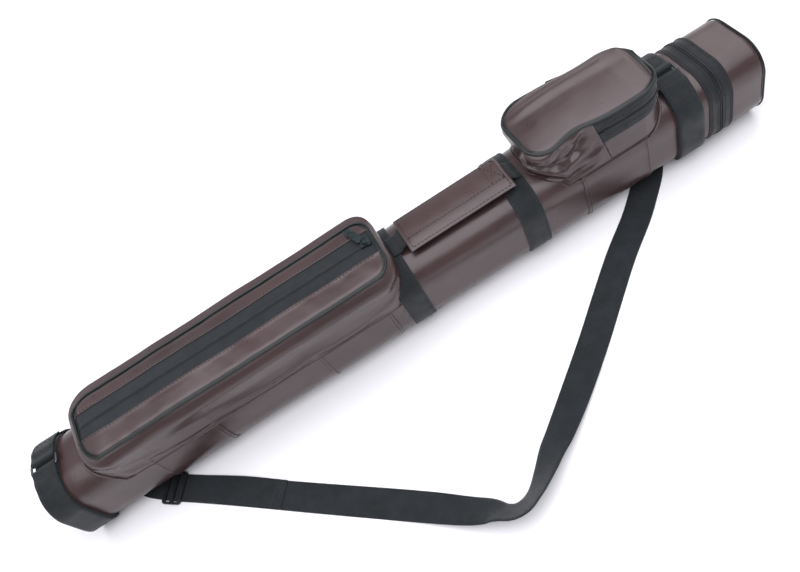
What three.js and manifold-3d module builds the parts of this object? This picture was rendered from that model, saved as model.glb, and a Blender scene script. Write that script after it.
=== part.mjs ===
// Cue case: a padded, vinyl-covered tube of rounded-square section with a zipped lid, two zipped
// pockets, a sewn carrying handle and a webbing shoulder strap. Millimetres, +Z up.
// The case lies on its back: +X runs from the base to the lid, the pockets face +Z, the shoulder
// strap is spread out on the -Y side and the lid's fabric hinge is on the +Y side.
import * as THREE from 'three';
import { mergeVertices } from 'three/addons/utils/BufferGeometryUtils.js';
import Module from 'manifold-3d';

const wasm = await Module();
wasm.setup();

// ---- driving dimensions ----
const LENGTH = 840;            // base end to lid rim
const HALF = 45;               // half the width of the covered tube
const CORNER = 30;             // corner radius of the covered tube
const GAP = 0.3;               // clearance between pieces that touch
const VINYL = 3;               // padded vinyl cover
const CORE_WALL = 2;           // stiff inner tube
const BAND = 2;                // webbing bands around the tube
const CUFF = 0.7;              // vinyl cuffs around the tube
const DIVIDER = 3;             // padded walls between the cue compartments
const BASE_BAND = [0, 27];     // stretches along X, from the base end
const CUFFS = [[110, 188], [312, 398], [628, 705]];
const LOWER_BAND = [412, 438];
const MIDDLE_BAND = [556, 582];
const UPPER_BAND = [738, 766];
const SEAM_X = 788;            // where the lid meets the tube
const LID_TAPE = 14;           // width of each half of the lid's zip tape

const LONG = { x0: 66, x1: 431, width: 84, corner: 26, height: 25, wall: 2 };
const LONG_ZIP_Y = 1;          // the long pocket's zip runs along the front at this Y
const LONG_TAPE = 16;
const SMALL = { x0: 588, x1: 733, width: 84, corner: 28, height: 38, wall: 2 };
const SMALL_ZIP_X = 655;       // the small pocket's zip runs round the lid end from here
const SMALL_SEAM = 15;         // its height below the pocket's front
const SMALL_TAPE = 13.4;
const PIPING = 3;
const COIL = 0.8;              // how far the zip teeth stand above their tape

const GRIP = { x0: 447, x1: 571, width: 50, thick: 7, lift: 6, y: -2 };
const HANDLE_WEBBING = { width: 25, thick: 1.4 };

const RING = { width: 32, depth: 14, bar: 2.5, thick: 2 };
const STRAP = { width: 30, thick: 1 };
const CENTRE_Z = HALF + GAP + BAND;   // height of the tube's centre line above the table
const ARC_STEPS = 3;                  // a quarter-round corner gets twice as many flats

// ---- materials ----
const LOOKS = {
  vinyl: { color: 0x5f4d4c, roughness: 0.42, metalness: 0 },
  webbing: { color: 0x2b3136, roughness: 0.85, metalness: 0 },
  tape: { color: 0x2d333c, roughness: 0.8, metalness: 0 },
  teeth: { color: 0x1d2228, roughness: 0.5, metalness: 0 },
  piping: { color: 0x24292b, roughness: 0.5, metalness: 0 },
  zip_metal: { color: 0x2f3a3d, roughness: 0.35, metalness: 0.8 },
  ring_metal: { color: 0x6d7478, roughness: 0.3, metalness: 0.9 },
  buckle: { color: 0x1c1f22, roughness: 0.45, metalness: 0 },
  core: { color: 0x8a7458, roughness: 0.9, metalness: 0 },
  lining: { color: 0x1e1e22, roughness: 0.95, metalness: 0 },
};

// ---- solids ----
function solid(geometry) {
  const bare = geometry.index ? geometry.toNonIndexed() : geometry.clone();
  bare.deleteAttribute('normal');
  bare.deleteAttribute('uv');
  const merged = mergeVertices(bare, 1e-4);
  const vertProperties = new Float32Array(merged.attributes.position.array);
  const triVerts = new Uint32Array(merged.index.array);
  return new wasm.Manifold(new wasm.Mesh({ numProp: 3, vertProperties, triVerts }));
}

function geometryOf(manifold) {
  const mesh = manifold.getMesh();
  const geometry = new THREE.BufferGeometry();
  geometry.setAttribute('position', new THREE.BufferAttribute(new Float32Array(mesh.vertProperties), 3));
  geometry.setIndex(new THREE.BufferAttribute(new Uint32Array(mesh.triVerts), 1));
  geometry.computeVertexNormals();
  return geometry;
}

function box(x0, x1, y0, y1, z0, z1) {
  const geometry = new THREE.BoxGeometry(x1 - x0, y1 - y0, z1 - z0);
  geometry.translate((x0 + x1) / 2, (y0 + y1) / 2, (z0 + z1) / 2);
  return solid(geometry);
}

// A rectangle with round corners, centred on the origin.
function roundedShape(width, depth, radius) {
  const w = width / 2 - radius;
  const d = depth / 2 - radius;
  const shape = new THREE.Shape();
  shape.absarc(w, d, radius, 0, Math.PI / 2, false);
  shape.absarc(-w, d, radius, Math.PI / 2, Math.PI, false);
  shape.absarc(-w, -d, radius, Math.PI, 1.5 * Math.PI, false);
  shape.absarc(w, -d, radius, 1.5 * Math.PI, 2 * Math.PI, false);
  return shape;
}

function extrude(shape, depth) {
  return new THREE.ExtrudeGeometry(shape, { depth, bevelEnabled: false, curveSegments: ARC_STEPS });
}

// A shape drawn in (Y, Z), drawn out along X.
function alongX(shape, x0, x1) {
  const [x, y, z] = [new THREE.Vector3(1, 0, 0), new THREE.Vector3(0, 1, 0), new THREE.Vector3(0, 0, 1)];
  const geometry = extrude(shape, x1 - x0);
  geometry.applyMatrix4(new THREE.Matrix4().makeBasis(y, z, x));
  geometry.translate(x0, 0, 0);
  return solid(geometry);
}

// A shape drawn in (X, Z), drawn out along Y.
function alongY(shape, y0, y1) {
  const geometry = extrude(shape, y1 - y0);
  geometry.rotateX(Math.PI / 2);
  geometry.translate(0, y1, 0);
  return solid(geometry);
}

// A shape drawn in (X, Y), drawn up along Z.
function upward(shape, z0, z1) {
  const geometry = extrude(shape, z1 - z0);
  geometry.translate(0, 0, z0);
  return solid(geometry);
}

function polygon(points) {
  return new THREE.Shape(points.map(([a, b]) => new THREE.Vector2(a, b)));
}

// The tube's section grown by an offset.
function tubeSection(offset) {
  const side = 2 * (HALF + offset);
  return roundedShape(side, side, CORNER + offset);
}

function tubeBlock(x0, x1, offset) {
  return alongX(tubeSection(offset), x0, x1);
}

// A sleeve around the tube's section between two offsets.
function sleeve(x0, x1, inner, outer) {
  const shape = tubeSection(outer);
  shape.holes.push(tubeSection(inner));
  return alongX(shape, x0, x1);
}

// A pocket's outline grown by an offset, about its own middle.
function pocketOutline(pocket, grow) {
  const length = pocket.x1 - pocket.x0 + 2 * grow;
  return roundedShape(length, pocket.width + 2 * grow, pocket.corner + grow);
}

function pocketBlock(pocket, grow, z0, z1) {
  return upward(pocketOutline(pocket, grow), z0, z1).translate([(pocket.x0 + pocket.x1) / 2, 0, 0]);
}

function pocketRing(pocket, inner, outer, z0, z1) {
  const shape = pocketOutline(pocket, outer);
  shape.holes.push(pocketOutline(pocket, inner));
  return upward(shape, z0, z1).translate([(pocket.x0 + pocket.x1) / 2, 0, 0]);
}

const FAR = 1000;              // larger than the case, for half-space cuts
const keepBelowX = (body, x) => body.intersect(box(-FAR, x, -FAR, FAR, -FAR, FAR));
const keepAboveX = (body, x) => body.intersect(box(x, FAR, -FAR, FAR, -FAR, FAR));
const keepBelowY = (body, y) => body.intersect(box(-FAR, FAR, -FAR, y, -FAR, FAR));
const keepAboveY = (body, y) => body.intersect(box(-FAR, FAR, y, FAR, -FAR, FAR));
const keepAboveZ = (body, z) => body.intersect(box(-FAR, FAR, -FAR, FAR, z, FAR));

// ---- assembly ----
const object = new THREE.Group();
object.position.set(-LENGTH / 2, 0, CENTRE_Z);   // centred on its length, resting on its bands

function add(name, look, body, parent = object) {
  const geometry = body.isBufferGeometry ? body : geometryOf(body);
  const mesh = new THREE.Mesh(geometry, new THREE.MeshStandardMaterial(LOOKS[look]));
  mesh.name = name;
  parent.add(mesh);
  return mesh;
}

// ---- tube ----
const BASE_PANEL = 2.5;
const PLUG = 10;
const INSIDE = -VINYL - GAP - CORE_WALL;         // offset of the stiff tube's inner face

function buildTube() {
  const start = BASE_PANEL + 2 * GAP;
  const end = SEAM_X - 0.2;
  add('base_end_panel', 'vinyl', tubeBlock(GAP, BASE_PANEL + GAP, 0));
  add('tube_cover', 'vinyl', sleeve(start, end, -VINYL, 0));
  add('tube_core', 'core', sleeve(start, end - 1, INSIDE, -VINYL - GAP));
  add('base_plug', 'core', tubeBlock(start, start + PLUG, INSIDE - GAP));
  const inside = HALF + INSIDE - GAP;
  const floor = start + PLUG + GAP;
  const mouth = end - 4;
  const half = DIVIDER / 2;
  add('divider_upright', 'lining', box(floor, mouth, -half, half, -inside, inside));
  add('divider_right', 'lining', box(floor, mouth, -inside, -half - GAP, -half, half));
  add('divider_left', 'lining', box(floor, mouth, half + GAP, inside, -half, half));
}

// ---- bands, cuffs and strap rings ----
const RING_FOLD = 5.3;         // height of webbing folded round a ring's bar
const RING_Y = { base: 3, upper: -4 };

const FOLD_MARGIN = 0.7;       // the folded webbing is this much narrower each side than the band

function bandAround([x0, x1]) {
  return sleeve(x0, x1, GAP, GAP + BAND);
}

const foldSpan = ([x0, x1]) => [x0 + FOLD_MARGIN, x1 - FOLD_MARGIN];

// Webbing folded round one bar of a flat ring; the slot takes the bar. side is -1 or +1 in Y.
function ringFold([x0, x1], ringY, side) {
  const top = HALF + GAP + BAND;
  const barFar = RING.depth / 2;
  const barNear = barFar - RING.bar;
  const inner = barNear - GAP - 1.2;
  const y = (v) => ringY + side * v;
  const high = top + RING_FOLD;
  const low = top - 0.2;
  const outline = [[y(inner), top + 1], [y(inner + 0.6), high - 0.4], [y(inner + 1.4), high],
    [y(barFar + 3), high], [y(barFar + 11), low], [y(inner + 0.6), low]];
  if (side < 0) outline.reverse();
  const slot = box(x0 - 1, x1 + 1, Math.min(y(barNear - GAP), y(barFar + GAP)),
    Math.max(y(barNear - GAP), y(barFar + GAP)), top + 1.5 - GAP, top + 1.5 + RING.thick + GAP);
  return alongX(polygon(outline), x0, x1).subtract(slot);
}

function ringAt([x0, x1], ringY) {
  const middle = (x0 + x1) / 2;
  const z0 = HALF + GAP + BAND + 1.5;
  const shape = roundedShape(RING.width, RING.depth, 3);
  shape.holes.push(roundedShape(RING.width - 2 * RING.bar, RING.depth - 2 * RING.bar, 0.4));
  return upward(shape, z0, z0 + RING.thick).translate([middle, ringY, 0]);
}

// The short sewn loop that joins the shoulder strap to a ring, lying over the +Y corner.
const LOOP_END_Z = 37;
function strapLoop([x0, x1], ringY) {
  const span = foldSpan([x0, x1]);
  const lift = GAP + BAND + GAP;
  const over = sleeve(span[0], span[1], lift, lift + BAND);
  const corner = keepAboveZ(keepAboveY(over, ringY + 12), LOOP_END_Z);
  const fold = ringFold(span, ringY, 1).translate([0, 0, GAP]);
  const slotRoom = ringAt([x0, x1], ringY);
  return fold.add(corner).subtract(grown(slotRoom));
}

// A ring's bar with clearance all round, as a cutter.
function grown(body) {
  const acrossBar = [[0, GAP, GAP], [0, -GAP, GAP], [0, GAP, -GAP], [0, -GAP, -GAP]];
  const shifts = [...acrossBar, [GAP, 0, 0], [-GAP, 0, 0]];
  return shifts.map((s) => body.translate(s)).reduce((a, b) => a.add(b));
}

function buildBands() {
  CUFFS.forEach(([x0, x1], i) => add(`cuff_${i + 1}`, 'vinyl', sleeve(x0, x1, GAP, GAP + CUFF)));
  const folded = (band, ringY) => bandAround(band).add(ringFold(foldSpan(band), ringY, -1));
  add('base_band', 'webbing', folded(BASE_BAND, RING_Y.base));
  add('lower_band', 'webbing', bandAround(LOWER_BAND));
  add('middle_band', 'webbing', bandAround(MIDDLE_BAND));
  add('upper_band', 'webbing', folded(UPPER_BAND, RING_Y.upper));
  add('base_ring', 'ring_metal', ringAt(BASE_BAND, RING_Y.base));
  add('upper_ring', 'ring_metal', ringAt(UPPER_BAND, RING_Y.upper));
  add('base_strap_loop', 'webbing', strapLoop(BASE_BAND, RING_Y.base));
  add('upper_strap_loop', 'webbing', strapLoop(UPPER_BAND, RING_Y.upper));
}

// ---- lid ----
// It turns about a vertical line at SEAM_X, half a millimetre outside its zip tape on the +Y side.
const LID_START = SEAM_X + 0.2;
const LID_PANEL = 2.4;
const HINGE_STRIP = { z: 14, thick: 1, reach: 12 };

function withoutHingeStretch(body) {
  return body.subtract(box(-FAR, FAR, HALF - 5, FAR, -HINGE_STRIP.z - 8, HINGE_STRIP.z + 8));
}

function buildLid() {
  const panel = LENGTH - LID_PANEL - GAP;
  const cover = panel - GAP - 0.4;
  add('lid_cover', 'vinyl', sleeve(LID_START, cover, -VINYL, 0));
  add('lid_core', 'core', sleeve(LID_START + 0.8, cover, INSIDE, -VINYL - GAP));
  add('lid_pad', 'lining', tubeBlock(cover - 6, cover - GAP, INSIDE - GAP));
  add('lid_top_panel', 'vinyl', tubeBlock(panel, panel + LID_PANEL, -1.5));
  add('lid_rim_piping', 'piping', sleeve(cover + GAP, LENGTH, -1.2, 1.2));
  add('lid_tape', 'tape', sleeve(LID_START, SEAM_X + LID_TAPE, GAP, 1));
  add('lid_teeth', 'teeth', withoutHingeStretch(sleeve(LID_START, SEAM_X + 2, 1 + GAP, 1 + GAP + COIL)));
}

function buildTubeMouth() {
  const end = SEAM_X - 0.2;
  add('mouth_tape', 'tape', sleeve(SEAM_X - LID_TAPE, end, GAP, 1));
  add('mouth_teeth', 'teeth', withoutHingeStretch(sleeve(SEAM_X - 2, end, 1 + GAP, 1 + GAP + COIL)));
  const y0 = HALF + 1 + GAP + 0.4;
  const strip = box(SEAM_X - HINGE_STRIP.reach, SEAM_X - 0.9, y0, y0 + HINGE_STRIP.thick,
    -HINGE_STRIP.z, HINGE_STRIP.z);
  add('lid_hinge_strip', 'tape', strip);
}

// ---- zip sliders ----
// A slider lies on its zip with +X along the zip and +Z away from it, its underside at z = 0.
const SLIDER = { length: 11, nose: 5, tail: 8.4, thick: 2, lug: 2.4, lugHigh: 3.4 };
const PULL = { length: 24, width: 8, thick: 1.2, pin: 1.2 };

// turn is how far the swivelling lug and its pull stand round from the zip's own direction.
function sliderBody(turn) {
  const half = SLIDER.length / 2;
  const plan = polygon([[-half, -SLIDER.nose / 2], [half, -SLIDER.tail / 2], [half, SLIDER.tail / 2],
    [-half, SLIDER.nose / 2]]);
  const lugSide = polygon([[-3.4, SLIDER.thick - 0.2], [3.4, SLIDER.thick - 0.2],
    [2.2, SLIDER.thick + SLIDER.lugHigh], [-2.2, SLIDER.thick + SLIDER.lugHigh]]);
  const lug = alongY(lugSide, -SLIDER.lug / 2, SLIDER.lug / 2);
  const eye = box(-1.5, 1.5, -5, 5, SLIDER.thick, SLIDER.thick + 2);
  const swivel = lug.subtract(eye).rotate([0, 0, turn]);
  return upward(plan, 0, SLIDER.thick).add(swivel);
}

// The pull lies along +X from the slider's eye, its pin through the eye.
function pullBody() {
  const pinZ = SLIDER.thick + 1;
  const arm = SLIDER.lug / 2 + GAP;
  const pin = box(-PULL.pin / 2, PULL.pin / 2, -arm - 1, arm + 1, pinZ - PULL.pin / 2, pinZ + PULL.pin / 2);
  const cheek = (y) => box(-PULL.pin / 2, 6, y, y + 1, pinZ - PULL.pin / 2, pinZ + PULL.pin / 2);
  const outline = roundedShape(PULL.length, PULL.width, 2);
  const plate = upward(outline, pinZ - PULL.thick / 2, pinZ + PULL.thick / 2);
  const tab = plate.translate([PULL.length / 2 + 5, 0, 0]);
  return pin.add(cheek(arm)).add(cheek(-arm - 1)).add(tab);
}

// raised is how far the pull has swung up about its pin.
function addZipper(prefix, place, turn, raised = 0) {
  const mount = new THREE.Group();
  place(mount);
  object.add(mount);
  const pinZ = SLIDER.thick + 1;
  const pull = pullBody().translate([0, 0, -pinZ]).rotate([0, -raised, 0]).translate([0, 0, pinZ]);
  add(`${prefix}_slider`, 'zip_metal', sliderBody(turn), mount);
  add(`${prefix}_pull`, 'zip_metal', pull.rotate([0, 0, turn]), mount);
}

const LID_SLIDER_ANGLE = THREE.MathUtils.degToRad(-38);   // round the lower +Y corner
function placeLidSlider(mount) {
  const corner = HALF - CORNER;
  const reach = CORNER + 1 + GAP + COIL + 1.1;
  mount.position.set(SEAM_X, corner + reach * Math.cos(LID_SLIDER_ANGLE),
    -corner + reach * Math.sin(LID_SLIDER_ANGLE));
  // local X runs down along the zip, local Z points outwards
  const out = new THREE.Vector3(0, Math.cos(LID_SLIDER_ANGLE), Math.sin(LID_SLIDER_ANGLE));
  const along = new THREE.Vector3(0, Math.sin(LID_SLIDER_ANGLE), -Math.cos(LID_SLIDER_ANGLE));
  const across = new THREE.Vector3().crossVectors(out, along);
  mount.setRotationFromMatrix(new THREE.Matrix4().makeBasis(along, across, out));
}

// ---- long pocket ----
const LONG_TOP = HALF + LONG.height;
const LONG_SLIDER_X = 414;

const UNDER_POCKET = GAP + BAND + GAP;   // pockets lie over the cuffs and one band

function pocketBack(pocket) {
  const shell = sleeve(pocket.x0, pocket.x1, UNDER_POCKET, UNDER_POCKET + 1);
  return shell.intersect(pocketBlock(pocket, -pocket.wall - GAP, 0, FAR));
}

function pocketWall(pocket, z1) {
  return pocketRing(pocket, -pocket.wall, 0, 0, z1).subtract(tubeBlock(0, LENGTH, UNDER_POCKET));
}

function buildLongPocket() {
  const top = LONG_TOP;
  add('long_pocket_back', 'vinyl', pocketBack(LONG));
  add('long_pocket_wall', 'vinyl', pocketWall(LONG, top - PIPING + 0.5));
  add('long_pocket_piping', 'piping', pocketRing(LONG, -1.6, 1, top - PIPING + 0.8, top + 0.6));
  const front = pocketBlock(LONG, -1.6 - GAP, top - 1.8, top - 0.2);
  const edge = LONG_TAPE + GAP;
  add('long_pocket_front_near', 'vinyl', keepBelowY(front, LONG_ZIP_Y - edge));
  add('long_pocket_front_far', 'vinyl', keepAboveY(front, LONG_ZIP_Y + edge));
  const tape = pocketBlock(LONG, -1.6 - GAP, top - 2.2, top - 1.4);
  const middle = keepAboveY(keepBelowY(tape, LONG_ZIP_Y + LONG_TAPE), LONG_ZIP_Y - LONG_TAPE);
  add('long_zip_tape_near', 'tape', keepBelowY(middle, LONG_ZIP_Y - GAP / 2));
  add('long_zip_tape_far', 'tape', keepAboveY(middle, LONG_ZIP_Y + GAP / 2));
  const teeth = (y0, y1) => box(LONG.x0 + 8, LONG.x1 - 8, y0, y1, top - 1.4 + GAP, top - 0.3);
  add('long_zip_teeth_near', 'teeth', teeth(LONG_ZIP_Y - 2.2, LONG_ZIP_Y - GAP / 2));
  add('long_zip_teeth_far', 'teeth', teeth(LONG_ZIP_Y + GAP / 2, LONG_ZIP_Y + 2.2));
  addZipper('long_zip', (m) => m.position.set(LONG_SLIDER_X, LONG_ZIP_Y, top), 112);
}

// ---- small pocket ----
const SMALL_TOP = HALF + SMALL.height;
const SMALL_SPLIT = SMALL_TOP - SMALL_SEAM;
const SMALL_SLIDER_X = 684;
const SMALL_PULL_RAISED = 15;  // degrees that its pull stands away from the wall

// The front's part towards the base is fixed; past SMALL_ZIP_X it lifts as a flap, about a line in Y
// across its top face where the two stretches of zip end.
function buildSmallPocket() {
  const seam = SMALL_SPLIT - GAP;
  const tapeFoot = seam - SMALL_TAPE;
  const zipped = box(SMALL_ZIP_X - GAP, FAR, -FAR, FAR, tapeFoot - GAP, FAR);
  add('small_pocket_back', 'vinyl', pocketBack(SMALL));
  add('small_pocket_wall', 'vinyl', pocketWall(SMALL, SMALL_TOP - PIPING - GAP).subtract(zipped));
  add('small_zip_tape_lower', 'tape', keepAboveX(pocketRing(SMALL, -1.4, 0, tapeFoot, seam), SMALL_ZIP_X));
  add('small_zip_teeth_lower', 'teeth',
    keepAboveX(pocketRing(SMALL, GAP, GAP + COIL, seam - 2, seam), SMALL_ZIP_X + 4));
  add('small_pocket_piping', 'piping', keepBelowX(smallPiping(), SMALL_ZIP_X - GAP / 2));
  add('small_pocket_front', 'vinyl', keepBelowX(smallFront(), SMALL_ZIP_X - GAP / 2));
}

const smallPiping = () => pocketRing(SMALL, -1.6, 1, SMALL_TOP - PIPING, SMALL_TOP);
const smallFront = () => pocketBlock(SMALL, -1.6 - GAP, SMALL_TOP - 2.4, SMALL_TOP - 0.6);

function buildSmallFlap() {
  const foot = SMALL_SPLIT + GAP;
  const tape = pocketRing(SMALL, -1.4, 0, foot, SMALL_TOP - PIPING - GAP);
  add('small_zip_tape_upper', 'tape', keepAboveX(tape, SMALL_ZIP_X));
  add('small_zip_teeth_upper', 'teeth',
    keepAboveX(pocketRing(SMALL, GAP, GAP + COIL, foot, foot + 2), SMALL_ZIP_X + 4));
  add('flap_piping', 'piping', keepAboveX(smallPiping(), SMALL_ZIP_X + GAP / 2));
  add('flap_front', 'vinyl', keepAboveX(smallFront(), SMALL_ZIP_X + GAP / 2));
}

function placeSmallSlider(mount) {
  // local X runs along +X, local Z points to +Y
  mount.position.set(SMALL_SLIDER_X, SMALL.width / 2 + GAP + COIL + GAP, SMALL_SPLIT);
  mount.rotation.x = -Math.PI / 2;
}

// ---- handle ----
function buildHandle() {
  const z0 = HALF + GRIP.lift;
  const z1 = z0 + GRIP.thick;
  const middle = (z0 + z1) / 2;
  const section = roundedShape(GRIP.width, GRIP.thick, 3);
  const grip = alongX(section, GRIP.x0, GRIP.x1).translate([0, GRIP.y, middle]);
  const y0 = GRIP.y - HANDLE_WEBBING.width / 2;
  const y1 = GRIP.y + HANDLE_WEBBING.width / 2;
  const half = HANDLE_WEBBING.thick / 2;
  const slot = box(GRIP.x0 - 1, GRIP.x1 + 1, y0 - GAP, y1 + GAP, middle - half - GAP, middle + half + GAP);
  add('handle_grip', 'vinyl', grip.subtract(slot));
  const foot = HALF + GAP + BAND + GAP;
  const footTop = foot + HANDLE_WEBBING.thick;
  const [a, b, c] = [LONG.x1 + 2 * GAP, LOWER_BAND[1] - 1, GRIP.x0 - 1];
  const [d, e, f] = [GRIP.x1 + 1, MIDDLE_BAND[1] - 6, MIDDLE_BAND[1] - 1];
  const under = [[a, foot], [b, foot], [c, middle - half], [d, middle - half], [e, foot], [f, foot]];
  const over = [[f, footTop], [e + 1, footTop], [d + 1, middle + half], [c, middle + half],
    [b, footTop], [a, footTop]];
  const webbing = polygon([...under, ...over]);
  add('handle_webbing', 'webbing', alongY(webbing, y0, y1));
}

// ---- shoulder strap ----
// Points from the base ring's loop, down round the tube's far side, under the tube, out over the
// table in one long loop and back to the upper ring: x, y, height above the table, and the
// direction of the webbing's inner face.
const STRAP_ROUTE = [
  [13.5, 41.8, 82.4, 0, -0.80, -0.60], [14.5, 47.5, 74, 0, -0.92, -0.38], [18, 51, 62, 0, -1, -0.1],
  [24, 52.5, 48, 0, -1, 0.05], [33, 52, 34, 0, -0.98, 0.2], [43, 48, 20, 0, -0.85, 0.5],
  [51, 41, 9, 0, -0.6, 0.8], [55, 32, 3.2, 0, -0.3, 0.95], [57, 24, 1.2, 0, -0.1, 1],
  [57.5, 13, 0.6, 0, 0, 1], [59, -1, 0.6, 0, 0, 1], [66, -18.5, 0.6, 0, 0, 1],
  [89, -39, 0.6, 0, 0, 1], [126, -65, 0.6, 0, 0, 1], [164, -92, 0.6, 0, 0, 1],
  [248, -153, 0.6, 0, 0, 1], [309, -197, 0.6, 0, 0, 1], [340, -220, 2.2, 0.06, 0.1, 0.99],
  [366, -240, 5.5, 0.19, 0.26, 0.95], [382, -251, 8.5, 0.28, 0.4, 0.87],
  [392, -259, 11.4, 0.4, 0.6, 0.69], [401, -264, 12, 0.15, 0.74, 0.66],
  [412, -264.5, 12, -0.1, 0.75, 0.65], [422, -261, 12, -0.28, 0.72, 0.63],
  [431, -256, 11.6, -0.39, 0.62, 0.68], [445, -245, 9.4, -0.38, 0.46, 0.8],
  [459, -233, 7.2, -0.27, 0.35, 0.9], [473, -223, 5.4, -0.19, 0.25, 0.95],
  [505, -198, 2.3, -0.07, 0.09, 0.99], [552, -160, 0.9, -0.02, 0.02, 1], [586, -131, 0.6, 0, 0, 1],
  [628, -96, 0.6, 0, 0, 1], [667, -67, 0.6, 0, 0, 1], [690, -47, 0.6, 0, 0, 1],
  [708, -30, 0.6, 0, 0, 1], [717, -18, 0.6, 0, 0, 1], [721, -5, 0.6, 0, 0, 1],
  [722, 9, 0.6, 0, 0, 1], [722, 24, 1.2, 0, -0.1, 1], [722, 32, 3.2, 0, -0.3, 0.95],
  [723, 41, 9, 0, -0.6, 0.8], [726, 48, 20, 0, -0.85, 0.5], [731.5, 52, 34, 0, -0.98, 0.2],
  [739, 52.5, 48, 0, -1, 0.05], [746, 51, 62, 0, -1, -0.1], [750.5, 47.5, 74, 0, -0.92, -0.38],
  [752, 41.8, 82.4, 0, -0.80, -0.60],
];

// A flat webbing strip: a box of unit length bent along a curve, its width across the inner face.
function webbingStrip(route, width, thick, steps, lift = 0) {
  const smooth = (points) => new THREE.CatmullRomCurve3(points, false, 'centripetal');
  const path = smooth(route.map(([x, y, z]) => new THREE.Vector3(x, y, z)));
  const inner = smooth(route.map((r) => new THREE.Vector3(r[3], r[4], r[5])));
  const geometry = new THREE.BoxGeometry(1, width, thick, steps, 1, 1);
  const at = geometry.attributes.position;
  for (let i = 0; i < at.count; i += 1) {
    const u = THREE.MathUtils.clamp(at.getX(i) + 0.5, 0, 1);
    const place = path.getPoint(u);
    const along = path.getTangent(u);
    const across = new THREE.Vector3().crossVectors(inner.getPoint(u), along).normalize();
    const up = new THREE.Vector3().crossVectors(along, across);
    place.addScaledVector(across, at.getY(i)).addScaledVector(up, at.getZ(i) + lift);
    at.setXYZ(i, place.x, place.y, place.z);
  }
  return geometry;
}

const ADJUSTER = { length: 24, width: 36, thick: 2.2, slot: 6, at: [95, -44.6], turn: -0.6 };

function buildStrap() {
  const onTable = new THREE.Group();
  onTable.position.z = -CENTRE_Z;
  object.add(onTable);
  add('shoulder_strap', 'webbing', webbingStrip(STRAP_ROUTE, STRAP.width, STRAP.thick, 92), onTable);
  const tail = STRAP_ROUTE.slice(13, 16);
  tail[0] = [112, -55.8, 0.6, 0, 0, 1];
  tail[2] = [207, -122.3, 0.6, 0, 0, 1];
  const tailStrip = webbingStrip(tail, STRAP.width - 1, STRAP.thick, 12, STRAP.thick + GAP);
  add('strap_tail', 'webbing', tailStrip, onTable);
  const frame = upward(roundedShape(ADJUSTER.length, ADJUSTER.width, 4), 0, ADJUSTER.thick);
  const slotX = 5;
  const cut = (x) => box(x - ADJUSTER.slot / 2, x + ADJUSTER.slot / 2, -STRAP.width / 2 - 0.5,
    STRAP.width / 2 + 0.5, -1, ADJUSTER.thick + 1);
  const buckle = add('strap_adjuster', 'buckle', frame.subtract(cut(-slotX)).subtract(cut(slotX)), onTable);
  buckle.position.set(ADJUSTER.at[0], ADJUSTER.at[1], 0.6 + STRAP.thick / 2 + GAP);
  buckle.rotation.z = ADJUSTER.turn;
}

buildTube();
buildBands();
buildTubeMouth();
buildLid();
addZipper('lid_zip', placeLidSlider, -90);
buildLongPocket();
buildSmallPocket();
buildSmallFlap();
addZipper('small_zip', placeSmallSlider, 180, SMALL_PULL_RAISED);
buildHandle();
buildStrap();

export default object;
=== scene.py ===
import math

import bmesh
import bpy
import numpy as np
from mathutils import Matrix, Vector, noise


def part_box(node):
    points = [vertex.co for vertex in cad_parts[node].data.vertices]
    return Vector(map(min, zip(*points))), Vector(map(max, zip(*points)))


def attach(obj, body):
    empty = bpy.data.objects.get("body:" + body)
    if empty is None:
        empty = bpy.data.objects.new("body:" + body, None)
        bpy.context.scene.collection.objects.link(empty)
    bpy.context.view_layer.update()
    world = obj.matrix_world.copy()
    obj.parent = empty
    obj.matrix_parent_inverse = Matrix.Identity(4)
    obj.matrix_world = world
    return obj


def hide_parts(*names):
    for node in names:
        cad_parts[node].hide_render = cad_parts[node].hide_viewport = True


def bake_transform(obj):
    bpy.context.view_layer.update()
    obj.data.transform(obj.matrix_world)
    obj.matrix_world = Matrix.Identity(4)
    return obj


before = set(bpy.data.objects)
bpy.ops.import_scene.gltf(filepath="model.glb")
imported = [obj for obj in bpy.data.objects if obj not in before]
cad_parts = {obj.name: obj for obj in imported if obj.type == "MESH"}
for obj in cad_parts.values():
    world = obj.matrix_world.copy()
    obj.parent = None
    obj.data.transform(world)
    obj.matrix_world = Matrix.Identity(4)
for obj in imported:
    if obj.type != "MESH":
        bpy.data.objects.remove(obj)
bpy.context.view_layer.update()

# A padded vinyl cue case lying on its back. Metres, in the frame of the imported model: +X runs from
# the base to the lid, +Z out of the pockets' fronts, and the floor is at z = 0.
MM = 0.001
BASE_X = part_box("base_end_panel")[0].x
AXIS_Z = (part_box("tube_cover")[0].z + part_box("tube_cover")[1].z) / 2
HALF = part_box("tube_cover")[1].y           # half the width of the covered tube
CORNER = 30 * MM                           # its corner radius
GAP = 0.3 * MM
BAND = 2 * MM                              # thickness of the webbing bands
UP = np.array([0.0, 0.0, 1.0])


def span(node):
    """Where a CAD node starts and ends along X."""
    low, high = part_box(node)
    return low.x, high.x


def new_object(name, data):
    """A new object in the scene that shows a mesh, a light or a camera."""
    made = bpy.data.objects.new(name, data)
    bpy.context.collection.objects.link(made)
    return made


# ---------------------------------------------------------------- camera, lights and floor
CAMERA_AT = (0.0200, -0.4738, 0.6475)
CAMERA_AZIMUTH = math.radians(2.57)
CAMERA_ELEVATION = math.radians(52.38)
CAMERA_ROLL = math.radians(-34.57)
CAMERA_LENS = 32.39


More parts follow.
